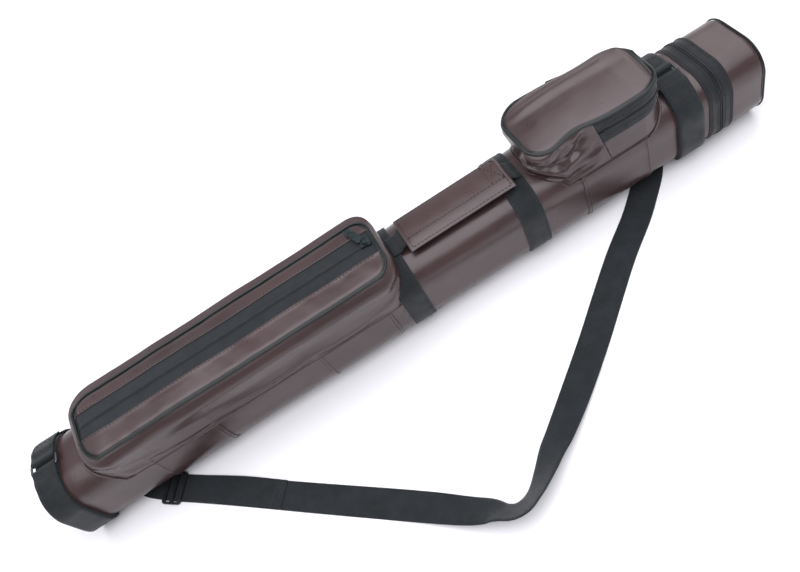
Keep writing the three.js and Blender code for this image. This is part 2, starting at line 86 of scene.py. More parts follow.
def add_camera():
    a, e, r = CAMERA_AZIMUTH, CAMERA_ELEVATION, CAMERA_ROLL
    back = Vector((math.sin(a) * math.cos(e), -math.cos(a) * math.cos(e), math.sin(e)))
    level = Vector((math.cos(a), math.sin(a), 0))
    upward = back.cross(level)
    right = math.cos(r) * level + math.sin(r) * upward
    top = -math.sin(r) * level + math.cos(r) * upward
    data = bpy.data.cameras.new("camera")
    data.lens = CAMERA_LENS
    data.clip_start = 0.01
    camera = new_object("camera", data)
    camera.matrix_world = Matrix.Translation(CAMERA_AT) @ Matrix((right, top, back)).transposed().to_4x4()
    bpy.context.scene.camera = camera


def add_light(name, location, target, size, power, colour):
    data = bpy.data.lights.new(name, "AREA")
    data.size = size
    data.energy = power
    data.color = colour
    light = new_object(name, data)
    way = Vector(target) - Vector(location)
    light.matrix_world = Matrix.Translation(location) @ way.to_track_quat("-Z", "Y").to_matrix().to_4x4()


# Each is (from, to, strength at from, strength at to) along one axis of the view's direction.
SKY_FADES = {"Z": (0.15, 0.85, 1.0, 0.12), "Y": (-0.9, 0.2, 0.35, 1.0)}


def add_sky(tree):
    """A pale wall that darkens upwards and towards the near side, for glossy vinyl to mirror."""
    background = tree.nodes["Background"]
    background.inputs["Color"].default_value = (0.93, 0.96, 1.0, 1)
    place = tree.nodes.new("ShaderNodeTexCoord")
    parts = tree.nodes.new("ShaderNodeSeparateXYZ")
    shades = []
    for axis, values in SKY_FADES.items():
        shade = tree.nodes.new("ShaderNodeMapRange")
        shade.interpolation_type = "SMOOTHSTEP"
        for socket, value in zip(("From Min", "From Max", "To Min", "To Max"), values):
            shade.inputs[socket].default_value = value
        tree.links.new(parts.outputs[axis], shade.inputs["Value"])
        shades.append(shade.outputs[0])
    both = tree.nodes.new("ShaderNodeMath")
    both.operation = "MULTIPLY"
    tree.links.new(place.outputs["Generated"], parts.inputs[0])
    for socket, shade in zip(both.inputs, shades):
        tree.links.new(shade, socket)
    tree.links.new(both.outputs[0], background.inputs["Strength"])


def add_studio():
    add_light("overhead_light", (0.1, -0.4, 2.25), (0.1, -0.3, 0), 3.6, 112, (0.96, 0.95, 1.0))
    add_light("lid_side_light", (2.0, 1.9, 2.1), (0.2, 0, 0), 1.3, 9, (1.0, 0.96, 0.98))
    world = bpy.data.worlds.new("studio")
    world.use_nodes = True
    add_sky(world.node_tree)
    bpy.context.scene.world = world
    bpy.context.scene.view_settings.view_transform = "Standard"


# ---------------------------------------------------------------- materials
class Look:
    """A Principled material, with a short way to add nodes to it."""

    def __init__(self, name, **sockets):
        self.material = bpy.data.materials.new(name)
        self.material.use_nodes = True
        self.tree = self.material.node_tree
        self.surface = self.tree.nodes["Principled BSDF"]
        for socket, value in sockets.items():
            self.surface.inputs[socket.replace("_", " ")].default_value = value

    def add(self, kind, inputs=None, **settings):
        made = self.tree.nodes.new("ShaderNode" + kind)
        for name, value in settings.items():
            setattr(made, name, value)
        for name, value in (inputs or {}).items():
            self.feed(made.inputs[name], value)
        return made

    def feed(self, socket, value):
        if isinstance(value, bpy.types.NodeSocket):
            self.tree.links.new(value, socket)
        else:
            socket.default_value = value

    def math(self, operation, *inputs):
        return self.add("Math", dict(enumerate(inputs)), operation=operation).outputs[0]

    def noise(self, scale, detail=3.0, stretch=(1, 1, 1)):
        place = self.add("TexCoord").outputs["Object"]
        moved = self.add("Mapping", {"Vector": place, "Scale": stretch}).outputs[0]
        return self.add("TexNoise", {"Vector": moved, "Scale": scale, "Detail": detail}).outputs["Fac"]

    def between(self, share, low, high):
        """Turns the middle of a noise's range into low to high."""
        inputs = {"Value": share, "From Min": 0.3, "From Max": 0.7, "To Min": low, "To Max": high}
        return self.add("MapRange", inputs).outputs[0]

    def mix(self, share, colour_a, colour_b):
        inputs = {0: share, 6: (*colour_a, 1), 7: (*colour_b, 1)}
        return self.add("Mix", inputs, data_type="RGBA").outputs[2]

    def colour(self, share, colour_a, colour_b):
        self.feed(self.surface.inputs["Base Color"], self.mix(share, colour_a, colour_b))

    def roughness(self, share, low, high):
        self.feed(self.surface.inputs["Roughness"], self.between(share, low, high))

    def bump(self, *layers):
        """Each layer is (height, distance in metres, strength)."""
        normal = None
        for height, distance, strength in layers:
            inputs = {"Height": height, "Distance": distance, "Strength": strength}
            if normal is not None:
                inputs["Normal"] = normal
            normal = self.add("Bump", inputs).outputs[0]
        self.feed(self.surface.inputs["Normal"], normal)

    def weave(self, along, across):
        """Height of a plain weave in the Weave map, whose threads lie that far apart."""
        place = self.add("UVMap", uv_map="Weave").outputs[0]
        parts = self.add("SeparateXYZ", {0: place}).outputs
        waves = [self.math("SINE", self.math("MULTIPLY", parts[k], math.tau / pitch))
                 for k, pitch in enumerate((along, across))]
        return self.math("MULTIPLY_ADD", self.math("MULTIPLY", *waves), 0.5, 0.5)


def vinyl_look(name, dark, light, rough, gloss):
    look = Look(name, Specular_IOR_Level=gloss, Coat_Weight=gloss / 4, Coat_Roughness=0.3)
    look.colour(look.between(look.noise(26, 4, (0.4, 1, 1)), 0, 1), dark, light)
    look.roughness(look.noise(60, 4), *rough)
    place = look.add("TexCoord").outputs["Object"]
    grain = look.add("TexVoronoi", {"Vector": place, "Scale": 900}, feature="SMOOTH_F1").outputs["Distance"]
    look.bump((look.noise(34, 3, (0.5, 1, 1)), 1.6 * MM, 0.35), (look.noise(420, 3), 0.12 * MM, 0.5),
              (grain, 0.12 * MM, 0.45))
    return look.material


def webbing_look():
    look = Look("black_webbing", Specular_IOR_Level=0.35, Sheen_Weight=0.17, Sheen_Roughness=0.45)
    threads = look.weave(1.9 * MM, 1.5 * MM)
    # Darkest between the threads: painted shade in the weave's gaps; the noise on top is random tone.
    shade = look.math("MULTIPLY_ADD", threads, 0.6, 0.2)
    look.colour(look.math("MULTIPLY", shade, look.between(look.noise(40), 0.6, 1.3)),
                (0.003, 0.005, 0.006), (0.014, 0.019, 0.023))
    look.roughness(look.noise(90), 0.62, 0.8)
    look.bump((look.noise(60, 2), 0.6 * MM, 0.3), (threads, 0.35 * MM, 0.7))
    return look.material


def tape_look():
    look = Look("black_zip_tape", Specular_IOR_Level=0.3, Sheen_Weight=0.2, Sheen_Roughness=0.5)
    threads = look.weave(1.1 * MM, 2.0 * MM)
    # Darkest between the threads: painted shade in the weave's gaps; the noise on top is random tone.
    look.colour(look.math("MULTIPLY", threads, look.between(look.noise(50), 0.6, 1.3)),
                (0.003, 0.005, 0.006), (0.013, 0.017, 0.022))
    look.roughness(look.noise(110), 0.6, 0.78)
    look.bump((look.noise(45, 2), 0.8 * MM, 0.3), (threads, 0.2 * MM, 0.6))
    return look.material


def smooth_look(name, dark, light, rough, grain=0.05, **sockets):
    """Moulded, cast or enamelled: slight colour and gloss changes and a fine orange peel."""
    look = Look(name, **sockets)
    look.colour(look.between(look.noise(120, 4), 0, 1), dark, light)
    look.roughness(look.noise(260, 3), *rough)
    look.bump((look.noise(900, 2), grain * MM, 0.4))
    return look.material


def lining_look():
    look = Look("black_lining", Roughness=0.9, Sheen_Weight=0.4, Sheen_Roughness=0.5)
    look.colour(look.noise(500, 2), (0.008, 0.008, 0.010), (0.030, 0.030, 0.034))
    look.bump((look.noise(160, 3), 0.4 * MM, 0.5), (look.noise(1400, 2), 0.2 * MM, 0.6))
    return look.material


def board_look():
    look = Look("grey_board", Roughness=0.85)
    look.colour(look.noise(220, 5, (0.2, 1, 1)), (0.16, 0.12, 0.08), (0.30, 0.23, 0.15))
    look.bump((look.noise(700, 4, (0.2, 1, 1)), 0.2 * MM, 0.6))
    return look.material


def floor_look():
    look = Look("pale_floor", Specular_IOR_Level=0.1)
    look.colour(look.noise(3, 2), (0.93, 0.93, 0.94), (0.96, 0.96, 0.97))
    look.roughness(look.noise(8), 0.85, 0.95)
    return look.material


LOOKS = {
    "vinyl": vinyl_look("brown_vinyl", (0.036, 0.018, 0.018), (0.058, 0.031, 0.031), (0.27, 0.37), 0.62),
    "webbing": webbing_look(),
    "tape": tape_look(),
    "teeth": smooth_look("black_coil", (0.006, 0.008, 0.010), (0.016, 0.019, 0.023), (0.35, 0.5)),
    "piping": vinyl_look("black_piping", (0.006, 0.008, 0.008), (0.012, 0.015, 0.015), (0.3, 0.42), 0.4),
    "zip_metal": smooth_look("dark_enamel", (0.018, 0.028, 0.032), (0.040, 0.056, 0.062), (0.24, 0.42),
                             Metallic=0.55),
    "ring_metal": smooth_look("dark_nickel", (0.07, 0.08, 0.085), (0.14, 0.15, 0.16), (0.3, 0.46),
                              Metallic=1.0),
    "buckle": smooth_look("black_nylon", (0.006, 0.007, 0.008), (0.014, 0.015, 0.017), (0.32, 0.48)),
    "core": board_look(),
    "lining": lining_look(),
    "thread": smooth_look("dark_thread", (0.020, 0.013, 0.012), (0.045, 0.032, 0.030), (0.55, 0.75)),
    "grey_thread": smooth_look("grey_thread", (0.09, 0.075, 0.07), (0.17, 0.15, 0.14), (0.55, 0.75)),
}


def dress(piece, look, body=None):
    """Gives a piece its material, smooth faces with sharp creases, and the body that it rides on."""
    piece.data.materials.clear()
    piece.data.materials.append(LOOKS[look])
    piece.data.shade_smooth()
    piece.data.set_sharp_from_angle(angle=math.radians(50))
    if body:
        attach(piece, body)
    return piece


# ---------------------------------------------------------------- outlines and meshes
def rounded(u, half_a, half_b, corner):
    """A point (a, b) on a rectangle with round corners and its outward normal, at arc length u from
    the middle of its -b side, first towards -a."""
    flats = (half_a - corner, half_b - corner)
    arc = corner * math.pi / 2
    u = (u + flats[0]) % (4 * (flats[0] + flats[1] + arc))
    side = 0
    while u > 2 * flats[side % 2] + arc:
        u -= 2 * flats[side % 2] + arc
        side += 1
    flat, reach = flats[side % 2], flats[(side + 1) % 2]
    angle = -math.pi / 2 * (1 + side)
    bend = angle - max(0.0, u - 2 * flat) / corner
    normal = np.array([math.cos(bend), math.sin(bend)])
    out = np.array([math.cos(angle), math.sin(angle)])
    way = np.array([math.sin(angle), -math.cos(angle)])
    return out * reach + way * (min(u, 2 * flat) - flat) + corner * normal, normal


def length_round(half_a, half_b, corner):
    return 4 * (half_a + half_b - 2 * corner) + math.tau * corner


ROUND = length_round(HALF, HALF, CORNER)
TOP_S, FAR_S = ROUND / 2, 3 * ROUND / 4        # arc lengths of the tube's top and +Y middles
BANDS = ("base_band", "lower_band", "middle_band", "upper_band")
EDGES = [x for band in BANDS for x in span(band)]


def bell(value, middle, width):
    """1 at the middle, fading to 0 at either side."""
    return math.exp(-((value - middle) / width) ** 2)


def padding(x, y, z):
    """How far the padded vinyl stands above its nominal surface: soft waves, tucked in at bands."""
    wave = 0.8 * noise.noise((x / 0.08, y / 0.05, z / 0.05))
    wave += 0.22 * noise.noise((x / 0.03, y / 0.02, z / 0.02 + 7))
    tuck = sum(bell(x, edge, 6 * MM) for edge in EDGES)
    off_floor = min(1.0, max(0.0, z / (30 * MM)))
    return (wave - 0.5 * tuck) * off_floor * MM


def on_tube(x, s, lift=0.0, soft=True):
    """A point lift above the tube's cover and the outward normal there, at arc length s from the
    middle of its underside, towards -Y first."""
    (y, z), (ny, nz) = rounded(s, HALF, HALF, CORNER)
    z += AXIS_Z
    if soft:
        lift = lift + padding(x, y, z)
    return np.array([x, y + ny * lift, z + nz * lift]), np.array([0.0, ny, nz])


def tube_top(y, lift=0.0):
    """Height of the tube's upper face at y."""
    beyond = max(0.0, abs(y) - (HALF - CORNER))
    radius = CORNER + lift
    return AXIS_Z + HALF - CORNER + math.sqrt(max(0.0, radius ** 2 - beyond ** 2))


def distances(points, closed=False):
    """Arc length at each point of a path, and at its end if it closes."""
    points = np.asarray(points, float)
    ends = np.vstack([points, points[:1]]) if closed else points
    return np.concatenate([[0], np.cumsum(np.linalg.norm(np.diff(ends, axis=0), axis=1))])


def grid(name, points, wrap_rows=False, wrap_cols=True, caps=False, fixed_normals=False):
    """A mesh over rows and columns of points, with a Weave map in metres: columns first."""
    points = np.asarray(points, float)
    rows, cols = points.shape[:2]
    u = distances(points[rows // 2], wrap_cols)
    v = distances(points[:, cols // 2], wrap_rows)
    faces, corners = [], []
    for i in range(rows if wrap_rows else rows - 1):
        for j in range(cols if wrap_cols else cols - 1):
            a, b = (i + 1) % rows, (j + 1) % cols
            faces.append((i * cols + j, i * cols + b, a * cols + b, a * cols + j))
            corners += [(u[j], v[i]), (u[j + 1], v[i]), (u[j + 1], v[i + 1]), (u[j], v[i + 1])]
    if caps:
        faces += [tuple(range(cols - 1, -1, -1)), tuple(range((rows - 1) * cols, rows * cols))]
        corners += [(0, 0)] * (2 * cols)
    mesh = bpy.data.meshes.new(name)
    mesh.from_pydata(points.reshape(-1, 3).tolist(), [], faces)
    mesh.uv_layers.new(name="Weave").data.foreach_set("uv", np.array(corners, np.float32).ravel())
    if not fixed_normals:
        face_outwards(mesh)
    return new_object(name, mesh)


def face_outwards(mesh):
    work = bmesh.new()
    work.from_mesh(mesh)
    bmesh.ops.recalc_face_normals(work, faces=work.faces)
    work.to_mesh(mesh)
    work.free()


def tangents(points, closed=False):
    points = np.asarray(points, float)
    if closed:
        way = np.roll(points, -1, axis=0) - np.roll(points, 1, axis=0)
    else:
        way = np.gradient(points, axis=0)
    return way / np.maximum(np.linalg.norm(way, axis=1, keepdims=True), 1e-12)


def unit(vectors):
    return vectors / np.maximum(np.linalg.norm(vectors, axis=-1, keepdims=True), 1e-12)


def sweep(name, path, normals, profile, closed=False):
    """A closed profile of (across, up) swept along a path, with up along the path's normals."""
    path = np.asarray(path, float)
    way = tangents(path, closed)
    across = unit(np.cross(np.broadcast_to(normals, path.shape), way))
    up = np.cross(way, across)
    profile = np.asarray(profile, float)
    points = (path[:, None] + across[:, None] * profile[None, :, :1]
              + up[:, None] * profile[None, :, 1:])
    swapped = points.transpose(1, 0, 2)
    if closed:
        return grid(name, swapped, wrap_rows=True, wrap_cols=True)
    return grid_with_ends(name, swapped)


def grid_with_ends(name, points):
    """Rows that close on themselves, whose first and last columns are capped."""
    piece = grid(name, points, wrap_rows=True, wrap_cols=False, fixed_normals=True)
    rows, cols = points.shape[:2]
    work = bmesh.new()
    work.from_mesh(piece.data)
    work.verts.ensure_lookup_table()
    work.faces.new([work.verts[i * cols] for i in range(rows)])
    work.faces.new([work.verts[i * cols + cols - 1] for i in reversed(range(rows))])
    bmesh.ops.recalc_face_normals(work, faces=work.faces)
    work.to_mesh(piece.data)
    work.free()
    return piece


def circle(radius, sides, flatten=1.0):
    turns = [math.tau * k / sides for k in range(sides)]
    return [(radius * math.cos(t), radius * flatten * math.sin(t)) for t in turns]


def flat_profile(width, thick):
    """Section of webbing: flat, with rounded edges slightly thicker than its middle."""
    half, edge = width / 2, thick / 2
    across = np.linspace(-half + edge, half - edge, 8)
    height = [edge * (1 + 0.18 * abs(a / half) ** 6) for a in across]
    top = list(zip(across, height))
    bottom = [(a, h - 2 * edge) for a, h in reversed(top)]
    return top + [(half - 0.3 * edge, 0.6 * edge), (half, 0), (half - 0.3 * edge, -0.6 * edge)] + bottom + [
        (-half + 0.3 * edge, -0.6 * edge), (-half, 0), (-half + 0.3 * edge, 0.6 * edge)]


def settle(piece):
    """Applies a piece's modifiers."""
    graph = bpy.context.evaluated_depsgraph_get()
    mesh = bpy.data.meshes.new_from_object(piece.evaluated_get(graph))
    piece.modifiers.clear()
    piece.shape_key_clear()
    piece.data = mesh
    return piece


def thicken(piece, thickness, smooth=1):
    """Gives an open sheet its thickness, inwards, and subdivides it."""
    solid = piece.modifiers.new("thickness", "SOLIDIFY")
    solid.thickness = thickness
    solid.offset = -1
    if smooth:
        piece.modifiers.new("smooth", "SUBSURF").levels = smooth
    return settle(piece)


CLOTH_STIFFNESS = 8.0


def simulate(piece, pins, frames, cap, rest=None, pressure=0.0, gravity=(0, 0, 0)):
    """Lets a piece settle as cloth. pins holds each vertex's share of being held; rest is the shape
    that the cloth was cut to; no point moves further than cap."""
    start = np.array([v.co for v in piece.data.vertices])
    group = piece.vertex_groups.new(name="pins")
    for index, share in enumerate(pins):
        group.add([index], float(share), "REPLACE")
    if rest is not None:
        piece.shape_key_add(name="Basis")
        key = piece.shape_key_add(name="cut")
        key.data.foreach_set("co", np.asarray(rest, np.float32).ravel())
        piece.data.update()
    cloth = piece.modifiers.new("cloth", "CLOTH")
    settings = cloth.settings
    settings.quality = 8
    settings.mass = 0.25
    settings.tension_stiffness = CLOTH_STIFFNESS
    settings.compression_stiffness = CLOTH_STIFFNESS
    settings.shear_stiffness = CLOTH_STIFFNESS
    settings.bending_stiffness = 0.35
    settings.air_damping = 2
    settings.vertex_group_mass = "pins"
    cloth.collision_settings.use_collision = False
    if rest is not None:
        settings.rest_shape_key = piece.data.shape_keys.key_blocks["cut"]
    if pressure:
        settings.use_pressure = True
        settings.uniform_pressure_force = pressure
    scene = bpy.context.scene
    scene.gravity = gravity
    for moment in range(1, frames + 1):
        scene.frame_set(moment)
    graph = bpy.context.evaluated_depsgraph_get()
    moved = np.array([v.co for v in piece.evaluated_get(graph).data.vertices])
    piece.modifiers.clear()
    if rest is not None:
        piece.shape_key_clear()
    piece.vertex_groups.clear()
    scene.frame_set(1)
    step = moved - start
    far = np.linalg.norm(step, axis=1, keepdims=True)
    moved = start + step * np.minimum(1, cap / np.maximum(far, 1e-9))
    piece.data.vertices.foreach_set("co", moved.astype(np.float32).ravel())
    piece.data.update()
    return piece


# ---------------------------------------------------------------- threads and zip teeth
STITCH = 3.0 * MM
STITCH_STEP = 4.2 * MM
THREAD = 0.34 * MM                             # radius of the thread


def spread_along(path, normals, step):
    """Places, ways and normals at even steps along a path."""
    path = np.asarray(path, float)
    at = distances(path)
    count = max(2, int(at[-1] / step))
    spots = (np.arange(count) + 0.5) * at[-1] / count

    def pick(values):
        return np.stack([np.interp(spots, at, values[:, k]) for k in range(3)], axis=1)

    return pick(path), pick(tangents(path)), unit(pick(np.asarray(normals, float)))


# A stitch's rings of points: (share of its length, height and radius in thread radii)
STITCH_SHAPE = ((-0.5, -0.9, 0.5), (-0.36, 0.35, 1.0), (0.0, 0.6, 1.1), (0.36, 0.35, 1.0), (0.5, -0.9, 0.5))


def sew(name, lines, body, look="thread", step=STITCH_STEP, length=STITCH):
    """Rows of stitches. Each line is (path, normals) on the surface that the stitches lie on."""
    sides, vertices, faces = 5, [], []
    for path, normals in lines:
        normals = np.broadcast_to(np.asarray(normals, float), np.asarray(path).shape)
        for place, way, up in zip(*spread_along(path, normals, step)):
            across = np.cross(up, way)
            first = len(vertices)
            for along, height, size in STITCH_SHAPE:
                middle = place + way * along * length + up * height * THREAD
                for k in range(sides):
                    t = math.tau * k / sides
                    vertices.append(middle + size * THREAD * (across * math.cos(t) + up * math.sin(t)))
            for i in range(len(STITCH_SHAPE) - 1):
                for k in range(sides):
                    a, b = first + i * sides, first + (i + 1) * sides
                    faces.append((a + k, a + (k + 1) % sides, b + (k + 1) % sides, b + k))
            faces.append(tuple(first + k for k in reversed(range(sides))))
            faces.append(tuple(first + (len(STITCH_SHAPE) - 1) * sides + k for k in range(sides)))
    mesh = bpy.data.meshes.new(name)
    mesh.from_pydata([tuple(v) for v in vertices], [], faces)
    face_outwards(mesh)
    return dress(new_object(name, mesh), look, body)


COIL_PITCH = 1.7 * MM
COIL_WIRE = 0.42 * MM                          # radius of the wire
COIL_WIDTH = 1.9 * MM
COIL_HEIGHT = 1.1 * MM
COIL_STEPS = 8


def coil(name, path, normals, side, node, body):
    """One half of a coil zip: a flattened spiral beside the path, on the side given as -1 or +1."""
    normals = np.broadcast_to(np.asarray(normals, float), np.asarray(path).shape)
    places, ways, ups = spread_along(path, normals, COIL_PITCH / COIL_STEPS)
    turns = math.tau * np.arange(len(places)) / COIL_STEPS
    across = np.cross(ups, ways) * side
    out = COIL_WIDTH / 2 - 0.1 * MM - (COIL_WIDTH / 2 - COIL_WIRE) * np.cos(turns)
    height = COIL_HEIGHT / 2 + (COIL_HEIGHT / 2 - COIL_WIRE) * np.sin(turns)
    spiral = places + across * out[:, None] + ups * height[:, None]
    piece = sweep(name, spiral, ups, circle(COIL_WIRE, 5))
    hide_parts(node)
    return dress(piece, "teeth", body)


# ---------------------------------------------------------------- shoulder strap
STRAP = {"width": 30 * MM, "thick": 1.3 * MM}
# x from the base end, y, height above the floor, and the direction of the inner face
STRAP_ROUTE = [
    (13.5, 41.8, 82.4, 0, -0.80, -0.60), (14.5, 47.5, 74, 0, -0.92, -0.38), (18, 51, 62, 0, -1, -0.1),
    (24, 52.5, 48, 0, -1, 0.05), (33, 52, 34, 0, -0.98, 0.2), (43, 48, 20, 0, -0.85, 0.5),
    (51, 41, 9, 0, -0.6, 0.8), (55, 32, 3.2, 0, -0.3, 0.95), (57, 24, 1.2, 0, -0.1, 1),
    (57.5, 13, 0.6, 0, 0, 1), (59, -1, 0.6, 0, 0, 1), (66, -18.5, 0.6, 0, 0, 1),
    (89, -39, 0.6, 0, 0, 1), (126, -65, 0.6, 0, 0, 1), (164, -92, 0.6, 0, 0, 1),
    (248, -153, 0.6, 0, 0, 1), (309, -197, 0.6, 0, 0, 1), (340, -220, 2.2, 0.06, 0.1, 0.99),
    (366, -240, 5.5, 0.19, 0.26, 0.95), (382, -251, 8.5, 0.28, 0.4, 0.87),
    (392, -259, 11.4, 0.4, 0.6, 0.69), (401, -264, 12, 0.15, 0.74, 0.66),
    (412, -264.5, 12, -0.1, 0.75, 0.65), (422, -261, 12, -0.28, 0.72, 0.63),
    (431, -256, 11.6, -0.39, 0.62, 0.68), (445, -245, 9.4, -0.38, 0.46, 0.8),
    (459, -233, 7.2, -0.27, 0.35, 0.9), (473, -223, 5.4, -0.19, 0.25, 0.95),
    (505, -198, 2.3, -0.07, 0.09, 0.99), (552, -160, 0.9, -0.02, 0.02, 1), (586, -131, 0.6, 0, 0, 1),
    (628, -96, 0.6, 0, 0, 1), (667, -67, 0.6, 0, 0, 1), (690, -47, 0.6, 0, 0, 1),
    (708, -30, 0.6, 0, 0, 1), (717, -18, 0.6, 0, 0, 1), (721, -5, 0.6, 0, 0, 1),
    (722, 9, 0.6, 0, 0, 1), (722, 24, 1.2, 0, -0.1, 1), (722, 32, 3.2, 0, -0.3, 0.95),
    (723, 41, 9, 0, -0.6, 0.8), (726, 48, 20, 0, -0.85, 0.5), (731.5, 52, 34, 0, -0.98, 0.2),
    (739, 52.5, 48, 0, -1, 0.05), (746, 51, 62, 0, -1, -0.1), (750.5, 47.5, 74, 0, -0.92, -0.38),
    (752, 41.8, 82.4, 0, -0.80, -0.60),
]
TAIL_ROUTE = [(112, -55.8, 0.6, 0, 0, 1), (164, -90, 0.6, 0, 0, 1), (207, -122.3, 0.6, 0, 0, 1)]
TAIL_THICK = 1.2 * MM
BASE_END = BASE_X - GAP


def smooth_curve(points, steps):
    """A centripetal Catmull-Rom curve through the points, at even shares of its spans."""
    points = np.asarray(points, float)
    ends = np.vstack([2 * points[0] - points[1], points, 2 * points[-1] - points[-2]])
    out = []
    for at in np.linspace(0, len(points) - 1, steps):
        k = min(int(at), len(points) - 2)
        p = ends[k:k + 4]
        before, within, after = np.sqrt(np.linalg.norm(np.diff(p[:, :3], axis=0), axis=1))
        step = p[2] - p[1]
        leave = within * ((p[1] - p[0]) / before - (p[2] - p[0]) / (before + within)) + step
        arrive = within * ((p[3] - p[2]) / after - (p[3] - p[1]) / (within + after)) + step
        t = at - k
        out.append(p[1] + leave * t + (3 * step - 2 * leave - arrive) * t ** 2
                   + (leave + arrive - 2 * step) * t ** 3)
    return np.array(out)


def strap_path(route, steps, lift=0.0):
    rows = np.array(route, float)
    rows[:, :3] *= MM
    rows[:, 0] += BASE_END
    line = smooth_curve(rows, steps)
    path, inner = line[:, :3], unit(line[:, 3:])
    return path + inner * lift, inner


def build_strap():
    lift = STRAP["thick"] / 2 - 0.5 * MM
    path, inner = strap_path(STRAP_ROUTE, 420, lift)
    strap = sweep("shoulder_strap_webbing", path, inner, flat_profile(STRAP["width"], STRAP["thick"]))
    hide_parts("shoulder_strap")
    dress(strap, "webbing", "case")
    tail_path, tail_inner = strap_path(TAIL_ROUTE, 50, lift + STRAP["thick"] + 0.1 * MM)
    tail = sweep("strap_doubled_end", tail_path, tail_inner, flat_profile(STRAP["width"] - MM, TAIL_THICK))
    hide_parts("strap_tail")
    dress(tail, "webbing", "case")
    seams = sew("strap_stitches", tail_seams(tail_path, tail_inner), "case")


def tail_seams(path, normals):
    """Two cross seams where the strap's doubled end stops."""
    lines = []
    for k in (-3, -6):
        across = np.cross(normals[k], tangents(path)[k])
        ends = np.linspace(-0.5, 0.5, 12)[:, None] * (STRAP["width"] - 4 * MM)
        lines.append((path[k] + normals[k] * TAIL_THICK / 2 + across * ends, normals[k]))
    return lines


# ---------------------------------------------------------------- wraps round the tube
AROUND = 112
SEAM_X = span("lid_cover")[0] - 0.2 * MM       # where the lid meets the tube


def wrap(name, profile, look, body, node):
    """A closed skin round the tube, from a loop of (x, lift)."""
    arc = np.linspace(0, ROUND, AROUND, endpoint=False)
    piece = grid(name, [[on_tube(x, s, lift)[0] for s in arc] for x, lift in profile], wrap_rows=True)
    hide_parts(node)
    return dress(piece, look, body)


def tube_line(x, lift, start=0.0, end=ROUND, steps=120):
    """A path round the tube at one x, with its normals."""
    spots = [on_tube(x, s, lift) for s in np.linspace(start, end, steps)]
    return np.array([p for p, _ in spots]), np.array([n for _, n in spots])


def hem_profile(x0, x1, low, high, hem=0.0, hem_width=5 * MM):
    """Section of a strip with rounded edges that may be folded to a hem at both sides."""
    inside = np.linspace(x0 + hem_width + 1.5 * MM, x1 - hem_width - 1.5 * MM, 12)
    left = [(x0, low), (x0 - 0.1 * MM, (low + high + hem) / 2), (x0 + 0.5 * MM, high + hem),
            (x0 + hem_width * 0.6, high + hem), (x0 + hem_width, high + hem * 0.4)]
    right = [(x1 - (x - x0), lift) for x, lift in reversed(left)]
    bottom = [(x1 - 2 * MM, low), ((x0 + x1) / 2, low), (x0 + 2 * MM, low)]
    return left + [(x, high) for x in inside] + right + bottom


def build_tube():
    x0, x1 = span("tube_cover")
    outer = [(x, 0.0) for x in np.linspace(x0 + 1 * MM, x1 - 0.6 * MM, 300)]
    inner = -3 * MM
    under = [(x1, inner), ((x0 + x1) / 2, inner), (x0, inner)]
    profile = [(x0, -0.8 * MM)] + outer + [(x1, -0.6 * MM)] + under
    cover = wrap("tube_padded_cover", profile, "vinyl", "case", "tube_cover")
    build_end_panel("base_panel", "base_end_panel", "case", -1, 1.6 * MM)
    for name in ("cuff_1", "cuff_2", "cuff_3"):
        c0, c1 = span(name)
        wrap(name + "_vinyl", hem_profile(c0, c1, 0.05 * MM, 0.8 * MM, 0.7 * MM), "vinyl", "case", name)
    seams = [tube_line(x, 1.45 * MM) for name in ("cuff_1", "cuff_2", "cuff_3")
             for x in (span(name)[0] + 3.2 * MM, span(name)[1] - 3.2 * MM)]
    sew("cuff_stitches", seams, "case")


def build_end_panel(name, node, body, way, dome):
    """A slightly domed panel that closes the tube's end that faces way along X."""
    low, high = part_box(node)
    reach = high.y - 0.5 * MM
    face = low.x if way < 0 else high.x
    back = high.x if way < 0 else low.x
    outline = [rounded(s, HALF, HALF, CORNER)[0] for s in np.linspace(0, ROUND, AROUND, endpoint=False)]
    rows = []
    for share in (0.02, 0.2, 0.4, 0.6, 0.75, 0.87, 0.95, 1.0):
        rows.append((face + way * dome * (1 - share ** 2) * 0.5, share * reach / HALF))
    rows += [(face - way * 0.6 * MM, high.y / HALF), (back, high.y / HALF)]
    points = [[(x, a * size, b * size + AXIS_Z) for a, b in outline] for x, size in rows]
    panel = grid(name, points, caps=True)
    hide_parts(node)
    dress(panel, "vinyl", body)


def build_bands():
    for name in BANDS:
        x0, x1 = span(name)
        profile = hem_profile(x0, x1, GAP, GAP + BAND, 0.15 * MM, 1.5 * MM)
        wrap(name + "_webbing", profile, "webbing", "case", name)
    lines = []
    for name in BANDS:
        x0, x1 = span(name)
        lines += [tube_line(x, GAP + BAND + 0.05 * MM) for x in (x0 + 2.6 * MM, x1 - 2.6 * MM)]
    sew("band_stitches", lines, "case", "thread")
    for end in ("base", "upper"):
        build_ring(end)


RING_WIRE = 1.25 * MM
LOOP_THICK = 1.6 * MM
LOOP_END_S = TOP_S + (HALF - CORNER) + CORNER * math.radians(50)
FOLD_END_S = (HALF - CORNER) + CORNER * math.radians(40)
LOOP_STEPS = 6                                 # places along a loop between two of its points


